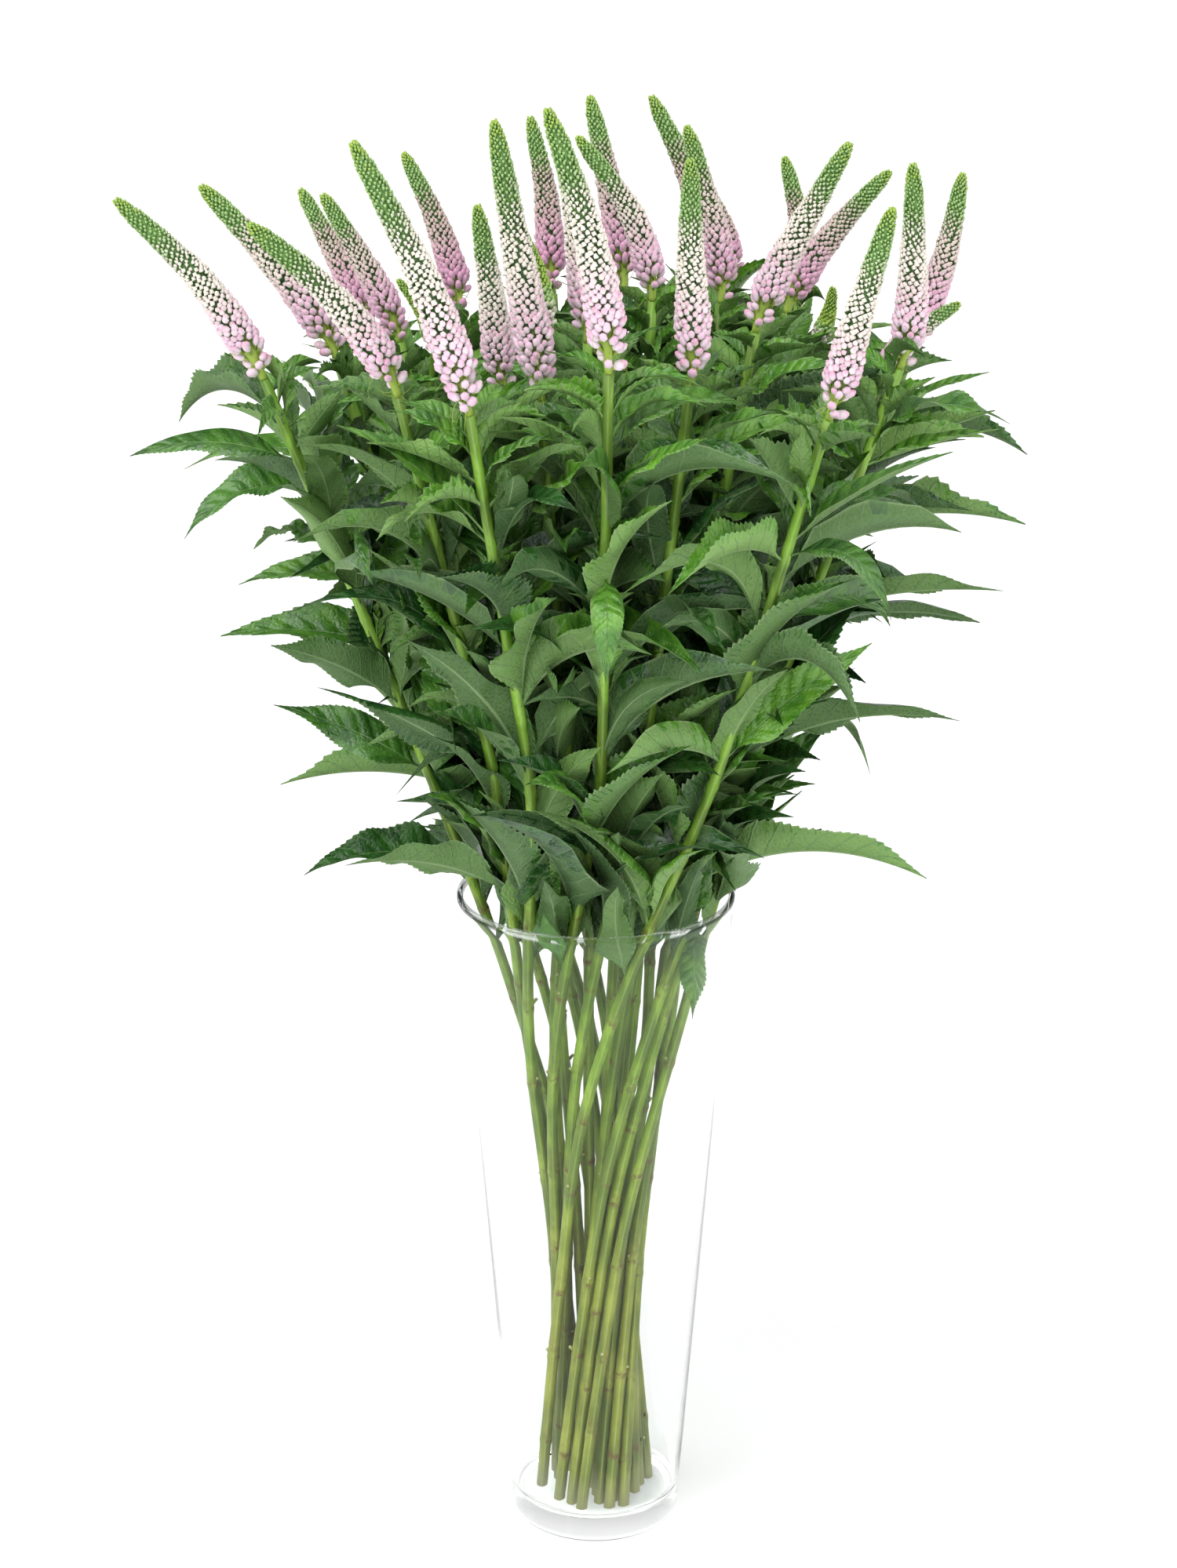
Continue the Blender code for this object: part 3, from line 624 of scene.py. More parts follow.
def buds(key, base, bend, tip, hook, full_radius, neck_radius):
    """Where the buds of a spike sit. They are numbered up a spiral that turns by the golden angle.

    The count up to a height is the spike's surface below it over the room that a bud takes, which is the
    square of its width times loose, and some of the lowest drop out. Each bud ends at the spike's radius,
    and the core is as thick as their roots.
    """
    length = np.linalg.norm(tip - base)
    draws = seeded(50, key)
    size = (full_radius / SPIKE_RADIUS) ** 0.6
    low, high = BUD_WIDTHS

    def bud_width(t):
        return size * (high + (low - high) * (1 - t) ** 1.6)

    t = np.linspace(0, 1, 400)
    loose = 1.32 + 2.08 * (1 - smooth(t / 0.42))
    room = 2 * math.pi * full_radius * spike_taper(t) * length / (loose * bud_width(t) ** 2)
    count = np.concatenate([[0], np.cumsum((room[1:] + room[:-1]) / 2 * np.diff(t))])
    number = np.arange(0.5, count[-1])
    at = np.interp(number, count, t)
    kept = (draws.uniform(0, 1, len(at)) > 0.55 * (1 - smooth((at - 0.03) / 0.24))) & (at > 0.012)
    at, number = at[kept], number[kept]
    line, ahead = spike_line(base, bend, tip, hook, at)
    rounding = np.sqrt(1 - np.clip((at - 0.91) / 0.095, 0, 1) ** 2)
    side, other = across(ahead)
    angle = (number * GOLDEN_ANGLE + draws.uniform(-0.13, 0.13, len(at)))[:, None]
    out = np.cos(angle) * side + np.sin(angle) * other
    width = bud_width(at) * draws.uniform(0.88, 1.1, len(at))
    tilt = np.radians(32 + 18 * smooth(at / 0.3) + 36 * (1 - rounding)) + draws.uniform(-0.25, 0.25, len(at))
    leaning = unit(np.cos(tilt)[:, None] * out + np.sin(tilt)[:, None] * ahead)
    radius = full_radius * spike_taper(at) * rounding * draws.uniform(0.92, 1.03, len(at))
    bud_length = width * (1.8 - 0.4 * smooth(at / 0.8))
    start = np.maximum(radius - bud_length * np.cos(tilt), 0)
    to_core = np.maximum(start - 0.8 * neck_radius, 0) * smooth(1.2 - at / 0.28)
    longer = np.where(at < BUD_SHAPES[0][0], to_core, 0)
    root = line + out * (start - longer)[:, None]
    rows = dict(root=root, ahead=leaning, length=bud_length + longer / np.cos(tilt), width=width)
    kinds = np.searchsorted([shape[0] for shape in BUD_SHAPES], at)
    return rows, kinds, at, draws.uniform(0, 1, len(at)), (at, start - longer)


def threads(key, line, full_radius, warmth):
    """The dry tips of bracts among the lowest buds: thin curled threads, each a quarter of a ring."""
    draws = seeded(52, key)
    steps = np.linspace(0, 1, 6)
    foot = line[0] + (line[11] - line[0]) * draws.uniform(0.0, 1.0, (THREADS, 1))
    heading = draws.uniform(0, 2 * math.pi, (THREADS, 1))
    out = np.concatenate([np.cos(heading), np.sin(heading), 0.3 * np.sin(3 * heading)], axis=1)
    turn_by = steps * draws.uniform(1.2, 2.6, (THREADS, 1))
    reach = full_radius * draws.uniform(0.7, 1.15, (THREADS, 1))
    across_by, rise = (reach * np.sin(turn_by))[..., None], (reach * (np.cos(turn_by) - 1))[..., None]
    middle = foot[:, None] + across_by * out[:, None] - rise * UP * draws.choice([-0.8, 0.8], (THREADS, 1, 1))
    around = circles(np.cross(out, UP), UP, 3)[:, None]
    rings = middle[:, :, None] + (THREAD_RADIUS * (1 - 0.6 * steps))[:, None, None] * around
    return skins(rings, petal=-1.0, age=0.0, warmth=warmth, shade=0.5)


def spike(key, base, direction, tip, full_radius, neck_radius, youth, warmth):
    """The core and the buds of one spike, along an arc that leaves the stem in its own direction."""
    bend = base + direction * SPIKE_BEND * np.linalg.norm(tip - base)
    draw = seeded(51, key).uniform(-1, 1, 4)
    hook = np.array((-0.2 + 0.8 * draw[0], 0.6 * draw[1], -0.15)) * SPIKE_HOOK
    rows, kinds, at, shade, (heights, roots) = buds(key, base, bend, tip, hook, full_radius, neck_radius)
    age = np.clip(at + youth + 0.07 * (shade - 0.5), 0, 1)
    parts = []
    for kind, (_, sides, shape) in enumerate(BUD_SHAPES):
        chosen = kinds == kind
        if not chosen.any():
            continue
        picked = {name: value[chosen] for name, value in rows.items()}
        values = dict(age=age[chosen], shade=shade[chosen], warmth=np.full(chosen.sum(), warmth))
        parts.append(pods(**picked, shape=shape, sides=sides, **values))
    t = np.linspace(0, 1, 30)
    width = np.interp(t, heights, np.convolve(np.pad(roots, 8, mode="edge"), np.ones(17) / 17, "valid"))
    core = np.maximum(width + 0.3 * MM, neck_radius * (0.85 - 0.6 * t))
    line, _ = spike_line(base, bend, tip, hook, t)
    rings = rings_about(line, core * np.where(t > 0.99, 0.3, 1), 9)
    parts.append(threads(key, line, full_radius, warmth))
    core_age = np.clip(t + youth, 0, 1)[:, None]
    parts.append(skins(rings[None], petal=-1.0, age=core_age, warmth=warmth, shade=0.5))
    return parts


def bud_skin():
    """Colour by the bud's place on the spike, from the green cup at its foot to the petals at its end, with a
    painted shade that darkens the petals of spikes towards the back of the bunch.
    """
    made, tree, shader = new_material("bud petals", Roughness=0.5, Specular_IOR_Level=0.4)
    petal, age, warmth, shade = point_values(tree, "petal", "age", "warmth", "shade")
    pale = tint(tree, eased(tree, age, 0.26, 0.6), (0.9, 0.745, 0.835), (0.86, 0.8, 0.71))
    # Painted shade: petals of spikes towards the back of the bunch turn darker and more mauve.
    shaded_mauve = tint(tree, eased(tree, age, 0.25, 0.66), (0.66, 0.38, 0.54), (0.6, 0.47, 0.43))
    petals = tint(tree, warmth, pale, shaded_mauve)
    blush = times(tree, eased(tree, petal, 0.6, 1.0), calc(tree, "MULTIPLY_ADD", shade, 0.6, 0.3))
    blush = times(tree, blush, faded(tree, age, 0.4, 0.62))
    petals = tint(tree, blush, petals, (0.72, 0.32, 0.5))
    unripe = tint(tree, eased(tree, petal, 0.3, 0.8), (0.13, 0.28, 0.08), (0.36, 0.54, 0.2))
    petals = tint(tree, eased(tree, age, 0.72, 0.85), petals, unripe)
    petals = tint(tree, eased(tree, age, 0.91, 1.0), petals, (0.36, 0.52, 0.09))
    cup = tint(tree, eased(tree, age, 0.12, 0.42), (0.36, 0.5, 0.08), (0.055, 0.14, 0.035))
    cup = tint(tree, eased(tree, age, 0.6, 0.9), cup, (0.15, 0.3, 0.08))
    edge = calc(tree, "MULTIPLY_ADD", eased(tree, age, 0.25, 0.68), 0.1, 0.34)
    open_part = eased(tree, calc(tree, "SUBTRACT", petal, edge), -0.06, 0.06)
    feed_all(shader, Base_Color=tint(tree, open_part, cup, petals))
    bump(tree, shader, noise(tree, 1400), 0.2 * MM)
    return made


def add_flower(number, neck, direction, tip, *traits):
    """The piece of one spike, which stands a touch over its stem's neck."""
    parts = spike(number, neck + direction * TOUCH, direction, tip, *traits)
    add_piece(f"flower_{number + 1:02d}", parts, [petal_skin], [f"spike_{number + 1:02d}"])


petal_skin = bud_skin()
for number, (neck, tip) in enumerate(zip(NECKS, TIPS)):
    radius = SPIKE_RADIUS * min(1.05, 0.5 + 0.5 * np.linalg.norm(tip - neck) / SPIKE_LENGTH)
    # Painted shade: the further back a spike's neck stands, the darker and more mauve its petals are painted.
    warmth = float(smooth((neck[1] + 60 * MM) / (190 * MM)))
    add_flower(number, neck, stem_direction(neck, neck[2]), tip, radius, STEM_RADIUS_NECK, 0.0, warmth)
for number, shoot in enumerate(SHOOTS, start=len(STEMS)):
    direction = unit(shoot["neck"] - shoot_bend(shoot))
    add_flower(number, shoot["neck"], direction, shoot["tip"], YOUNG_SPIKE_RADIUS, SHOOT_RADIUS, 0.5, 0.2)


# Leaves. They grow in opposite pairs: long folded blades with a sawn edge and a drawn-out point, dark and
# smooth above, and grey-green underneath with a raised rib and a net of veins. Each stem's are one piece.
LEAF_LENGTH = (112 * MM, 88 * MM)
USUAL_LEAF_LENGTH = 100 * MM
LEAF_WIDTH_SHARE = 0.275
RIB_THICKNESS = 1.3 * MM
STALK_WIDTH = 2.2 * MM
LARGE_LEAVES_END = 70 * MM
SMALL_LEAF_LENGTH = 48 * MM
SMALL_LEAF_DEPTHS = (24 * MM, 46 * MM)
OUTER_NECK = 170 * MM
STEEPEST_START = math.radians(72)
SHOULDER_RADIUS = 114 * MM
SHOULDER_HEIGHT = 416 * MM
SHOULDER_SLOPE = 0.5
LEAF_ATTEMPTS = 40
REACHING_STRAY = 26 * MM
TIP_MATCH = 0.15 * MM

# Leaves that shape the bunch's outline and front: the stem's number from 1, the height of the root, where
# the tip ends in millimetres, how far the blade bows over its chord, and how it is turned about its rib.
REACHING_LEAVES = (
    (23, 365, 160, -62, 378, 0.12, -0.7),
    (23, 378, 100, -66, 434, 0.14, 0.8),
    (23, 430, 176, -36, 450, 0.09, -0.9),
    (22, 440, 130, -66, 498, 0.04, 0.9),
    (22, 485, 120, -134, 480, 0.29, -0.5),
    (22, 550, 133, -134, 528, 0.3, 0.3),
    (25, 528, 208, -6, 540, 0.1, -0.7),
    (24, 566, 212, 30, 566, 0.15, -0.4),
    (23, 590, 192, -60, 602, 0.18, 0.2),
    (24, 475, 192, 32, 480, 0.09, -0.7),
    (23, 500, 193, -50, 519, 0.06, -0.9),
    (25, 588, 173, 26, 614, 0.15, 0.1),
    (25, 432, 138, 20, 404, 0.3, 0.0),
    (1, 455, -152, -84, 502, 0.05, 1.0),
    (2, 462, -186, 14, 478, 0.09, -0.7),
    (1, 418, -157, -26, 455, 0.05, -1.0),
    (3, 430, -130, -92, 484, 0.05, 0.6),
    (2, 398, -158, 10, 402, 0.09, 0.8),
    (1, 362, -143, -40, 372, 0.12, -0.7),
    (3, 362, -119, -90, 395, 0.08, 0.9),
    (1, 530, -168, 12, 523, 0.18, 0.0),
    (1, 562, -192, -72, 550, 0.21, -0.5),
    (1, 578, -220, -40, 582, 0.11, -0.4),
    (1, 598, -201, 2, 589, 0.23, -0.3),
    (2, 556, -203, 34, 558, 0.15, -0.5),
    (2, 500, -176, 12, 505, 0.11, -0.6),
    (11, 390, 44, -112, 462, 0.08, 0.7),
    (11, 350, -22, -104, 416, 0.1, 0.0),
    (16, 350, -74, -92, 402, 0.06, -1.1),
    (22, 352, 51, -104, 408, 0.1, 0.3),
    (3, 445, -88, -98, 476, 0.24, 0.6),
    (11, 545, 4, -142, 500, 0.34, 0.0),
    (14, 470, 68, -42, 544, 0.1, -0.4),
    (11, 604, 69, -112, 621, 0.2, 0.4),
    (11, 600, -40, -104, 605, 0.26, -0.3),
    (14, 545, 72, -30, 588, 0.16, 0.3),
    (8, 550, -44, -72, 590, 0.16, 0.4),
    (6, 560, -101, -102, 557, 0.26, 0.2),
    (25, 340, 50, -32, 292, 0.2, 0.5),
)


def leaf_line(leaf, t):
    """Centre line, side and upward vectors of a leaf at shares t of its length.

    The line is an arc from root to tip that bows over its chord, and the blade turns about it by its roll.
    """
    root, tip = leaf["root"], leaf["tip"]
    chord = tip - root
    side = unit(np.cross(UP, chord))
    over = unit(np.cross(chord, side))
    bend = (root + tip) / 2 + (2 * leaf["bow"] * over + leaf["sway"] * side) * np.linalg.norm(chord)
    line = curve(root, bend, tip, t)
    t = np.asarray(t, float)[:, None]
    ahead = unit((1 - t) * (bend - root) + t * (tip - bend))
    side = unit(side - ahead * (ahead @ side)[:, None])
    over = np.cross(ahead, side)
    roll = leaf["roll"] * np.clip(t / 0.3, 0, 1) + leaf["curl"] * np.clip((t - 0.55) / 0.45, 0, 1) ** 2
    cos, sin = np.cos(roll), np.sin(roll)
    return line, ahead, side * cos + over * sin, over * cos - side * sin


def blade_outline(t):
    """Share of a blade's half width: it widens to a third of the way, then narrows to a long point."""
    body = np.sin(math.pi * t**0.72)
    return np.clip(body * smooth((t - 0.04) / 0.24) * (1 - 0.35 * smooth((t - 0.7) / 0.3)), 0, 1)


def blade(leaf, t, v):
    """Points of a blade at shares t along it and v across it, from -1 at one margin to 1 at the other.

    Each half is lifted from the rib by the fold, swells a little between rib and margin, rolls up or down
    towards the margin and waves along it.
    """
    line, ahead, side, up = leaf_line(leaf, t)
    width = leaf["width"] / 2 * blade_outline(t)[:, None]
    reach = np.maximum(width, STALK_WIDTH / 2 * (1 - t[:, None] ** 3)) * np.abs(v)
    turns = leaf["waves"] * t[:, None] + leaf["phase"] + 0.3 * np.sign(v)
    wave = leaf["wave"] * np.sin(2 * math.pi * turns)
    lift = math.sin(leaf["fold"]) * reach + 0.1 * width * np.sin(math.pi * np.abs(v))
    lift = lift + (wave + leaf["rim"] * np.abs(v)) * width * v**2
    offset = np.sign(v) * math.cos(leaf["fold"]) * reach * (1 - 0.35 * abs(leaf["rim"]) * v**2)
    return line[:, None] + offset[..., None] * side[:, None] + lift[..., None] * up[:, None], ahead, up


def leaf_skin(leaf, rows, columns):
    """A blade as rings of points: over its upper face from margin to margin, and back underneath.

    Every second row of the margin is a tooth, moved out from the rib and ahead.
    """
    t = np.linspace(0, 1, rows)
    place_across = np.sin(np.linspace(1, -1, columns) * math.pi / 2)
    v = np.concatenate([place_across, place_across[-2:0:-1]])[None]
    under = (np.arange(v.shape[1]) >= columns)[None]
    is_tooth = (np.arange(rows) % 2)[:, None]
    at_margin = np.abs(v) ** 12
    saw = np.where(is_tooth > 0, 1, -0.6) * leaf["tooth"] * smooth(blade_outline(t) * 3)[:, None]
    rings, ahead, up = blade(leaf, t, v * (1 + saw * at_margin / (leaf["width"] / 2)))
    spacing = np.linalg.norm(leaf["tip"] - leaf["root"]) / rows * (leaf["tooth"] > 0)
    thick = RIB_THICKNESS * np.where(under, -0.5, 0.08) * (1 - np.abs(v) ** 0.6) * (1 - 0.8 * t[:, None])
    forward = 0.8 * spacing * is_tooth * at_margin
    rings = rings + thick[..., None] * up[:, None] + forward[..., None] * ahead[:, None]
    return rings, t[:, None] + 0 * v, v + 0 * t[:, None]


def leaf_skins(leaves, rows, columns):
    """The skins of several leaves. The first columns - 1 places round a ring are the upper face."""
    rings, t, v = (np.stack(numbers) for numbers in zip(*(leaf_skin(leaf, rows, columns) for leaf in leaves)))
    tone = np.array([leaf["tone"] for leaf in leaves])[:, None, None]
    paint = (np.arange(rings.shape[2]) >= columns - 1).astype(int)
    return skins(rings, paint, along=t, across=v, tone=tone)


def leaf_places(index, neck):
    """Where leaves grow on one stem: height, heading and whether it is a small one under the flower."""
    outwards = math.atan2(neck[1], neck[0])
    turns = (0.5, -1.3, 1.3, -0.5)
    heights = leafy_joints(index, neck[2] - LARGE_LEAVES_END)
    places = [(z, outwards + turns[(index + node) % 4], False) for node, z in enumerate(heights)]
    for i, depth in enumerate(SMALL_LEAF_DEPTHS):
        places.append((neck[2] - depth, outwards + (1.2, -0.9)[i] + 0.4 * (index % 3), True))
    return places


def strays(*key):
    """Ten seeded draws between -1 and 1."""
    return seeded(*key).uniform(-1, 1, 10)


def towards(climb, heading):
    """The unit vector that climbs by one angle and heads by another."""
    flat = np.cos(climb)
    return np.array((flat * np.cos(heading), flat * np.sin(heading), np.sin(climb)))


def rule_leaf(index, number, attempt, z, heading, small):
    """One way for a leaf to grow. Later attempts stray further, climb more and are shorter."""
    draw = strays(index, number, attempt)
    haste = attempt / LEAF_ATTEMPTS
    neck = NECKS[index]
    height = np.clip((z - LOWEST_NODE) / (neck[2] - LOWEST_NODE), 0, 1)
    length = SMALL_LEAF_LENGTH if small else LEAF_LENGTH[0] + (LEAF_LENGTH[1] - LEAF_LENGTH[0]) * height
    length *= 1 + 0.12 * draw[0] - 0.3 * haste
    heading = heading + draw[1] * (0.4 + 1.2 * haste)
    outer = np.hypot(neck[0], neck[1]) / OUTER_NECK
    climb = 0.6 - 0.25 * outer + 0.5 * draw[2] + 0.45 * haste
    root = stem_axis(neck, z)
    return dict(
        root=root,
        tip=root + length * towards(climb, heading),
        bow=min(0.19 + 0.09 * draw[3], math.tan(max(STEEPEST_START - climb, 0.05)) / 4),
        sway=0.14 * draw[4],
        roll=1.2 * draw[5],
        fold=0.4 + 0.22 * draw[6],
        width=length * LEAF_WIDTH_SHARE * (0.8 if small else 1 + 0.12 * draw[7]),
    )


def reaching_leaf(number, attempt, plan):
    """A planned leaf. Later attempts move its tip and turn it until it is clear of its neighbours."""
    draw = strays(100 + number, attempt)
    haste = attempt / LEAF_ATTEMPTS
    root = stem_axis(NECKS[plan[0] - 1], plan[1] * MM)
    tip = np.array(plan[2:5]) * MM + REACHING_STRAY * haste * draw[:3]
    return dict(
        root=root,
        tip=tip,
        bow=plan[5] + 0.12 * haste * draw[3],
        sway=0.06 * draw[4],
        roll=plan[6] + 0.9 * haste * draw[5],
        fold=0.36 + 0.14 * draw[6],
        width=LEAF_WIDTH_SHARE * math.sqrt(np.linalg.norm(tip - root) * USUAL_LEAF_LENGTH),
    )


def grown(index, ways):
    """The way in which a leaf has grown on its stem's solid, which has a corner at its tip, or None."""
    for leaf in ways:
        if np.abs(SOLID_CORNERS[index] - leaf["tip"]).max(axis=1).min() < TIP_MATCH:
            return leaf
    return None


def dressed(leaf, *key, tone, tooth=0.42 * MM):
    """A leaf with its own waves, curl and tone of green."""
    draw = seeded(60, *key).uniform(0, 1, 6)
    return dict(
        leaf,
        fold=leaf["fold"] + 0.35 * draw[2],
        wave=0.07 + 0.25 * draw[0],
        waves=1.5 + 2.5 * draw[1],
        phase=draw[2],
        curl=2.2 * (draw[3] - 0.5),
        rim=1.5 * (draw[5] - 0.37),
        tone=float(np.clip(tone + 0.95 * (draw[4] - 0.5), 0, 1)),
        tooth=tooth,
    )


def corners_of(node):
    """A solid's corners and its triangles' corner numbers."""
    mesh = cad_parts[node].data
    flat = np.zeros(len(mesh.vertices) * 3, np.float32)
    mesh.vertices.foreach_get("co", flat)
    mesh.calc_loop_triangles()
    faces = np.zeros(len(mesh.loop_triangles) * 3, np.int32)
    mesh.loop_triangles.foreach_get("vertices", faces)
    return flat.reshape(-1, 3).astype(float), faces.reshape(-1, 3)


SOLID_CORNERS = [corners_of(f"stem_{number + 1:02d}")[0] for number in range(len(STEMS))]
large_leaves, small_leaves, tiny_leaves, inner_leaves = ([[] for _ in STEMS] for _ in range(4))
for number, plan in enumerate(REACHING_LEAVES):
    ways = (reaching_leaf(number, attempt, plan) for attempt in range(LEAF_ATTEMPTS))
    found = grown(plan[0] - 1, ways)
    if found:
        large_leaves[plan[0] - 1].append(dressed(found, 1, number, tone=0.45))
wanted = []
for index, neck in enumerate(NECKS):
    for number, (z, heading, small) in enumerate(leaf_places(index, neck)):
        ways = (rule_leaf(index, number, attempt, z, heading, small) for attempt in range(LEAF_ATTEMPTS))
        found = grown(index, ways)
        tone = 0.2 + 0.35 * (z - LOWEST_NODE) / (neck[2] - LOWEST_NODE)
        if found:
            kept = small_leaves if small else large_leaves
            kept[index].append(dressed(found, 2, index, number, tone=tone + 0.2 * small))
            turned_to = found["tip"] - found["root"]
            heading = math.atan2(turned_to[1], turned_to[0])
        elif not small:
            wanted.append((index, 40 + number, z, heading, tone))
        if not small:
            wanted.append((index, 60 + number, z, heading + math.pi, tone))


# Leaves between those of the solids: the partner of each in its pair, pairs low on the stems that rise out
# of the rim, and the small young leaves that crowd under each flower. They grow where there is room.
CELL = 3.5 * MM
ROOM_LOW = np.array(cad_low) - 30 * MM
ROOM_CELLS = tuple(((np.array(cad_high) - ROOM_LOW + 30 * MM) / CELL).astype(int))
LOW_LEAVES = (-20 * MM, -20 * MM, -6 * MM, -6 * MM)
LOW_LEAF_LENGTH = 90 * MM
INNER_SPACING = 16 * MM
SPRIG_LENGTH = 28 * MM
WAYS = 16
STALK_WEIGHT = 6
BUDDING_DEPTHS = (7 * MM, 15 * MM, 24 * MM, 35 * MM, 48 * MM, 62 * MM)

taken = np.zeros(ROOM_CELLS, np.int8)


def cells(points):
    """The numbers of the cells that hold these points, for use on taken."""
    numbers = ((points.reshape(-1, 3) - ROOM_LOW) / CELL).astype(int)
    return tuple(np.clip(numbers, 0, np.array(ROOM_CELLS) - 1).T)


def fill_with_solid(node, steps=14):
    """Marks the cells on a solid's faces: points of each triangle at even shares of its two sides."""
    corners, faces = corners_of(node)
    share = np.linspace(0, 1, steps)
    a, b = (grid.ravel() for grid in np.meshgrid(share, share))
    a, b = a[a + b <= 1, None, None], b[a + b <= 1, None, None]
    first, second, third = (corners[faces[:, n]] for n in range(3))
    taken[cells(first + a * (second - first) + b * (third - first))] = 1


def grow(ways, *key, tone, clear_from=0.16, **finish):
    """The way of growing that meets the fewest cells already taken, which it then takes.

    A stalk's cells count more than a leaf's, and so do places out of the bunch's shape or the solids' box.
    """
    t, v = np.linspace(0, 1, 26), np.linspace(-1, 1, 5)[None]
    best = None
    for way in ways:
        leaf = dressed(way, *key, tone=tone, **finish)
        points = blade(leaf, t, v)[0]
        beyond = points[t > clear_from]
        met = taken[cells(beyond)].sum() + 20 * outside(beyond) + 2 * hanging(beyond)
        if best is None or met < best[0]:
            best = (met, leaf, points)
        if met == 0:
            break
    own = cells(best[2][t > clear_from])
    taken[own] = np.maximum(taken[own], 1)
    return best[1]


def hanging(points):
    """How many of these points are out of the bunch's shape: below the rim, or beyond a slope above it."""
    radius, height = np.hypot(points[..., 0], points[..., 1]), points[..., 2]
    below = (height < VASE_HEIGHT + 4 * MM) & (radius > RIM_RADIUS)
    beyond = radius > SHOULDER_RADIUS + SHOULDER_SLOPE * np.maximum(height - SHOULDER_HEIGHT, -40 * MM)
    return (below | beyond).sum()


def outside(points):
    """How far in centimetres points stand out of the solids' box."""
    low, high = np.array(cad_low), np.array(cad_high)
    return 100 * max(0.0, (low - points).max(), (points - high).max())


def steep_leaf(index, key, attempt, z, heading, length, climb, broad):
    """A narrow leaf that rises steeply and arches out. Later attempts turn further about the stem."""
    draw = strays(index, key, attempt, 7)
    rise = climb + 0.25 * draw[0] + 0.2 * attempt / WAYS
    heading = heading + draw[1] * (0.3 + 1.2 * attempt / WAYS)
    length = length * (1 + 0.2 * draw[2])
    root = stem_axis(NECKS[index], z)
    return dict(
        root=root,
        tip=root + length * towards(rise, heading),
        bow=0.16 + 0.14 * draw[3],
        sway=0.12 * draw[4],
        roll=0.9 * draw[5],
        fold=0.45 + 0.25 * draw[6],
        width=length * (broad + 0.05 * draw[7]),
    )


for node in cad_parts:
    fill_with_solid(node)
for neck in NECKS:
    axis = stem_axis(neck, np.arange(LOWEST_NODE, neck[2], 2 * MM))
    taken[cells(rings_about(axis, np.full(len(axis), 2 * MM), 6))] = STALK_WEIGHT
wanted.sort(key=lambda leaf: NECKS[leaf[0]][1] + 0.3 * leaf[2])
for index, number, z, heading, tone in wanted:
    ways = (rule_leaf(index, number, 2 * attempt, z, heading, False) for attempt in range(WAYS))
    large_leaves[index].append(grow(ways, 3, index, number, tone=tone))
for index, neck in enumerate(NECKS):
    outwards = math.atan2(neck[1], neck[0])
    for key, drop in enumerate(LOW_LEAVES):
        z = LOWEST_NODE + drop
        heading = outwards + 1.5 * (key // 2) + math.pi * (key % 2)
        ways = (steep_leaf(index, 80 + key, n, z, heading, LOW_LEAF_LENGTH, 0.95, 0.3) for n in range(WAYS))
        large_leaves[index].append(grow(ways, 6, index, key, tone=0.35))
    for key, z in enumerate(np.arange(LOWEST_NODE + 5 * MM, neck[2] - LARGE_LEAVES_END, INNER_SPACING)):
        heading = 2.4 * key + index
        ways = (rule_leaf(index, 300 + key, 2 * n, z, heading, False) for n in range(WAYS))
        inner_leaves[index].append(grow(ways, 7, index, key, tone=0.15, tooth=0.0))
for index, neck in enumerate(NECKS):
    for row, depth in enumerate(BUDDING_DEPTHS):
        for side in (0, 1):
            key = 10 * row + side
            heading = 1.7 * index + 1.57 * row + math.pi * side
            length = (22 + 0.9 * depth / MM) * MM
            z = neck[2] - depth
            ways = (steep_leaf(index, key, n, z, heading, length, 0.55, 0.27) for n in range(WAYS))
            kept = small_leaves if row > 1 else tiny_leaves
            tooth = 0.3 * MM if row > 1 else 0.0
            kept[index].append(grow(ways, 4, index, key, tone=0.85, clear_from=0.2, tooth=tooth))
    for row, z in enumerate(np.arange(neck[2] - 3.4 * NODE_SPACING, neck[2] - 60 * MM, NODE_SPACING)):
        for sprig in range(4):
            key = 100 + 10 * row + sprig
            heading = 0.9 * index + 1.57 * row + math.pi * (sprig // 2) + 0.5 * (sprig % 2)
            ways = (steep_leaf(index, key, n, z, heading, SPRIG_LENGTH, 1.0, 0.26) for n in range(WAYS))
            tiny_leaves[index].append(grow(ways, 5, index, key, tone=0.95, clear_from=0.3, tooth=0.0))


def veins(tree, along, off_rib, thickness):
    """Lines of the side veins, and a point's distance from the next, in spacings.

    The veins leave the rib in pairs and run forward: ten to a leaf, bent by noise.
    """
    slant = calc(tree, "MULTIPLY_ADD", off_rib, -1.2, times(tree, along, 10.0))
    bent = calc(tree, "ADD", slant, times(tree, noise(tree, 45), 0.7))
    distance = calc(tree, "PINGPONG", bent, 0.5)
    return faded(tree, distance, 0.0, thickness), distance


def net(tree, scale):
    """The distance to the nearest line of a net of small veins."""
    settings = dict(feature="DISTANCE_TO_EDGE")
    return add_node(tree, "TexVoronoi", settings, Vector=place(tree), Scale=scale).outputs["Distance"]


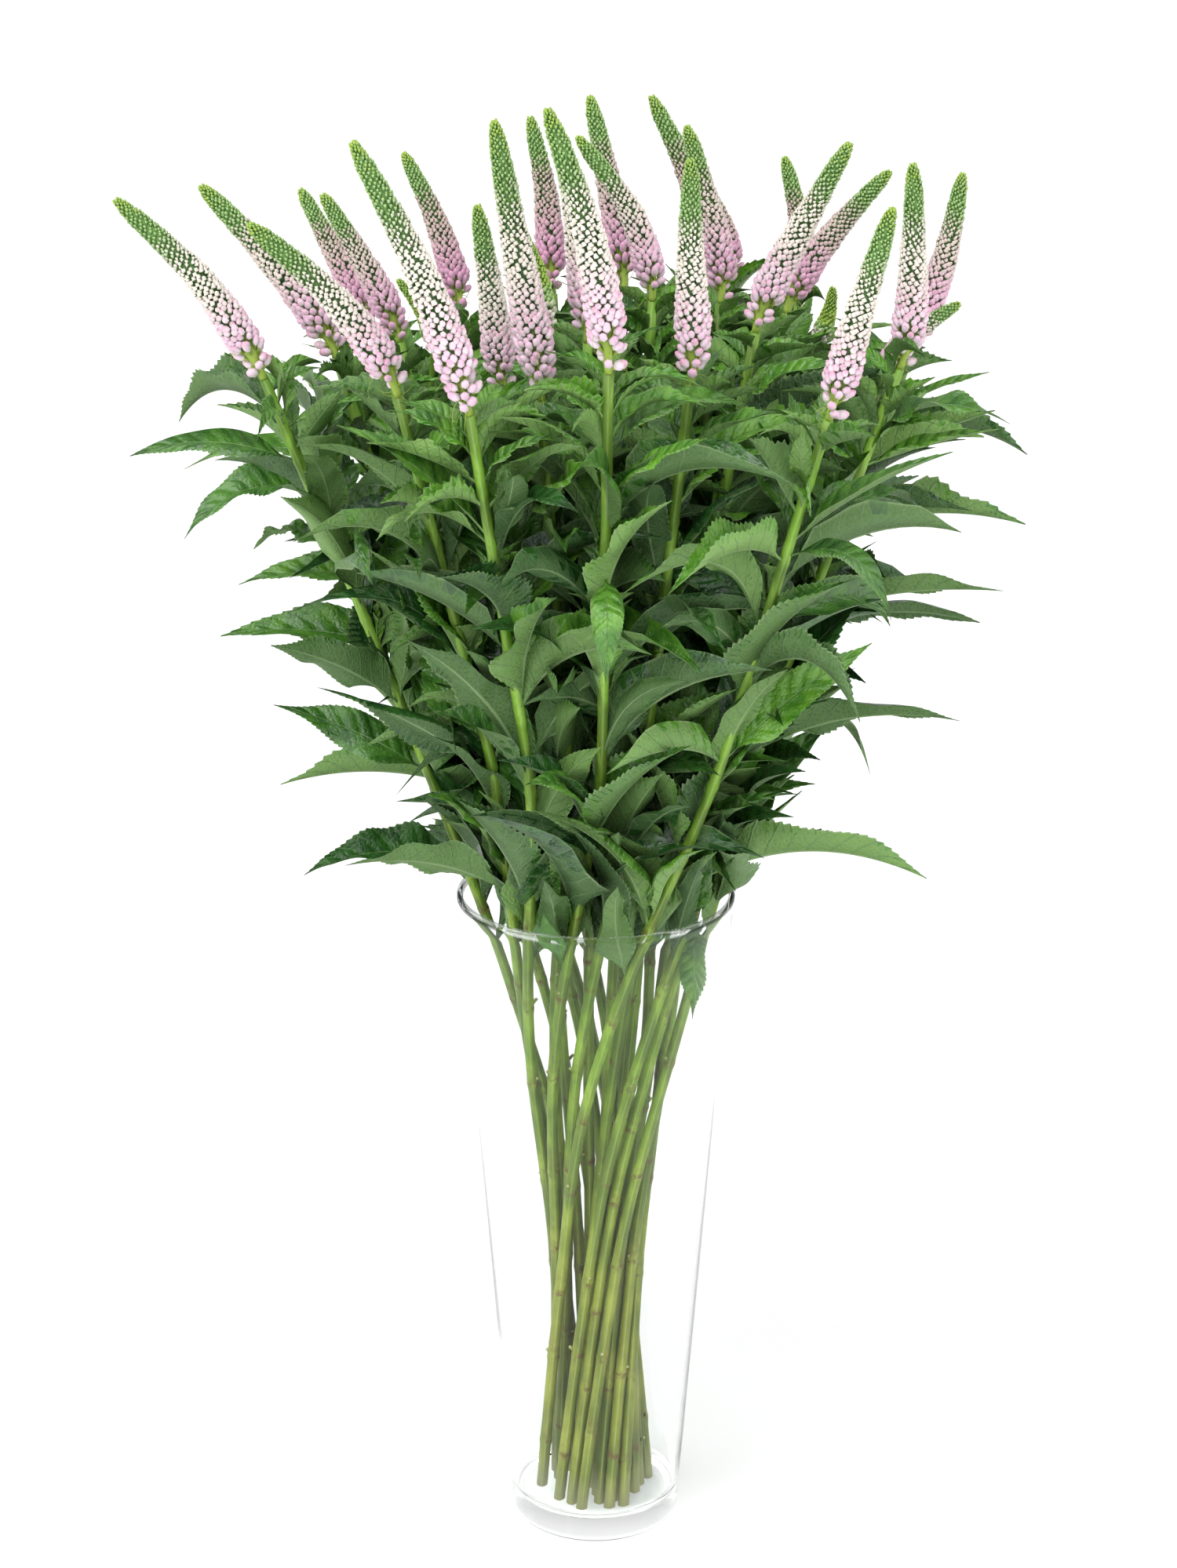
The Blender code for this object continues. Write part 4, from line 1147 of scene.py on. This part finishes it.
def leaf_upper():
    """Deep satin green, brighter on young leaves, with fine pale veins that run forward from the rib."""
    made, tree, shader = new_material("leaf upper side", Specular_IOR_Level=0.8)
    along, side, tone = point_values(tree, "along", "across", "tone")
    off_rib = calc(tree, "ABSOLUTE", side)
    vein_line, distance = veins(tree, along, off_rib, 0.07)
    rib_line = faded(tree, off_rib, 0.01, 0.045)
    mottle = noise(tree, 110, 4)
    deep = tint(tree, tone, (0.008, 0.044, 0.009), (0.066, 0.235, 0.016))
    light = tint(tree, tone, (0.024, 0.118, 0.014), (0.175, 0.42, 0.035))
    green = coated(
        tree,
        tint(tree, eased(tree, mottle, 0.3, 0.7), deep, light),
        (vein_line, 0.2, (0.13, 0.3, 0.08)),
        (rib_line, 0.5, (0.2, 0.36, 0.11)),
        (eased(tree, off_rib, 0.93, 1.0), 0.25, (0.16, 0.32, 0.08)),
    )
    feed_all(shader, Base_Color=green, Roughness=calc(tree, "MULTIPLY_ADD", mottle, 0.25, 0.24))
    relief = calc(tree, "MULTIPLY_ADD", mottle, 0.15, eased(tree, distance, 0.0, 0.4))
    relief = calc(tree, "MULTIPLY_ADD", eased(tree, net(tree, 330), 0.0, 0.3), 0.35, relief)
    relief = calc(tree, "SUBTRACT", relief, times(tree, rib_line, 0.6))
    bump(tree, shader, relief, 0.5 * MM)
    return made


def leaf_lower():
    """Matt grey-green with a pale raised rib, side veins and a fine net between them."""
    made, tree, shader = new_material("leaf underside", Specular_IOR_Level=0.45)
    along, side, tone = point_values(tree, "along", "across", "tone")
    off_rib = calc(tree, "ABSOLUTE", side)
    vein_line, _ = veins(tree, along, off_rib, 0.09)
    rib_line = faded(tree, off_rib, 0.03, 0.09)
    off_net = net(tree, 420)
    mottle = noise(tree, 90, 3)
    green = coated(
        tree,
        tint(tree, tone, (0.04, 0.105, 0.025), (0.23, 0.42, 0.1)),
        (eased(tree, mottle, 0.3, 0.7), 0.35, (0.12, 0.22, 0.07)),
        (faded(tree, off_net, 0.0, 0.16), 0.15, (0.2, 0.33, 0.16)),
        (vein_line, 0.35, (0.2, 0.33, 0.16)),
        (rib_line, 0.6, (0.27, 0.4, 0.18)),
        (eased(tree, off_rib, 0.92, 1.0), 0.4, (0.33, 0.45, 0.22)),
    )
    feed_all(shader, Base_Color=green, Roughness=calc(tree, "MULTIPLY_ADD", mottle, 0.2, 0.5))
    net_swell = times(tree, faded(tree, off_net, 0.0, 0.45), 0.45)
    lines = calc(tree, "MAXIMUM", vein_line, rib_line)
    bump(tree, shader, calc(tree, "MAXIMUM", net_swell, lines), 0.5 * MM)
    return made


FRONT_ROWS = 61
OUTER_ROWS = 45
INNER_ROWS = 33
INNER_NECK = 105 * MM

leaf_faces = [leaf_upper(), leaf_lower()]
for number, neck in enumerate(NECKS):
    back_rows = OUTER_ROWS if math.hypot(neck[0], neck[1]) > INNER_NECK else INNER_ROWS
    rows = FRONT_ROWS if neck[1] < 0 else back_rows
    grades = (
        (large_leaves[number], rows, 5),
        (inner_leaves[number], 13, 5),
        (small_leaves[number], 29, 5),
        (tiny_leaves[number], 10, 3),
    )
    parts = [leaf_skins(leaves, *grade) for leaves, *grade in grades if leaves]
    add_piece(f"leaves_{number + 1:02d}", parts, leaf_faces, [f"stem_{number + 1:02d}"])


# Studio. A plain white floor that runs on past the horizon of the picture, under even light from a room
# whose walls are brighter than its ceiling, and from two large soft lamps. None of it is the object's.
FLOOR_HALF = 25.0
FLOOR_DROP = 0.2 * MM
WALL_LIGHT = 1.06
CEILING_LIGHT = 0.36

floor_mesh = bpy.data.meshes.new("studio_floor")
corners = np.array([(-1, -1, 0), (1, -1, 0), (1, 1, 0), (-1, 1, 0)]) * FLOOR_HALF - UP * FLOOR_DROP
floor_mesh.from_pydata(corners, [], [(0, 1, 2, 3)])
floor_mesh.materials.append(new_material("white floor", Base_Color=(0.95, 0.95, 0.95, 1), Roughness=0.7)[0])
set_up("studio_floor", floor_mesh)

bpy.context.scene.world = bpy.data.worlds.new("white studio")
bpy.context.scene.world.use_nodes = True
room = bpy.context.scene.world.node_tree
up_share = add_node(room, "SeparateXYZ", Vector=add_node(room, "TexCoord").outputs["Generated"]).outputs["Z"]
to_ceiling = eased(room, up_share, 0.2, 0.85)
light = calc(room, "MULTIPLY_ADD", to_ceiling, CEILING_LIGHT - WALL_LIGHT, WALL_LIGHT)
feed_all(room.nodes["Background"], Color=(1.0, 1.0, 1.0, 1), Strength=light)


def soft_lamp(name, heading, height, spread_of_light, strength):
    """A far soft lamp. Its heading from the front, height and spread are in degrees, seen from the vase."""
    lamp = bpy.data.lights.new(name, "SUN")
    lamp.angle = math.radians(spread_of_light)
    lamp.energy = strength
    set_up(name, lamp).rotation_euler = (math.radians(90 - height), 0, math.radians(heading))


soft_lamp("lamp_left", -38, 48, 60, 2.2)
soft_lamp("lamp_right", 50, 42, 80, 1.0)
bpy.context.scene.view_settings.view_transform = "Standard"
rays = bpy.context.scene.cycles
rays.diffuse_bounces = 2
rays.glossy_bounces = 16
rays.max_bounces = 24
rays.transmission_bounces = 24
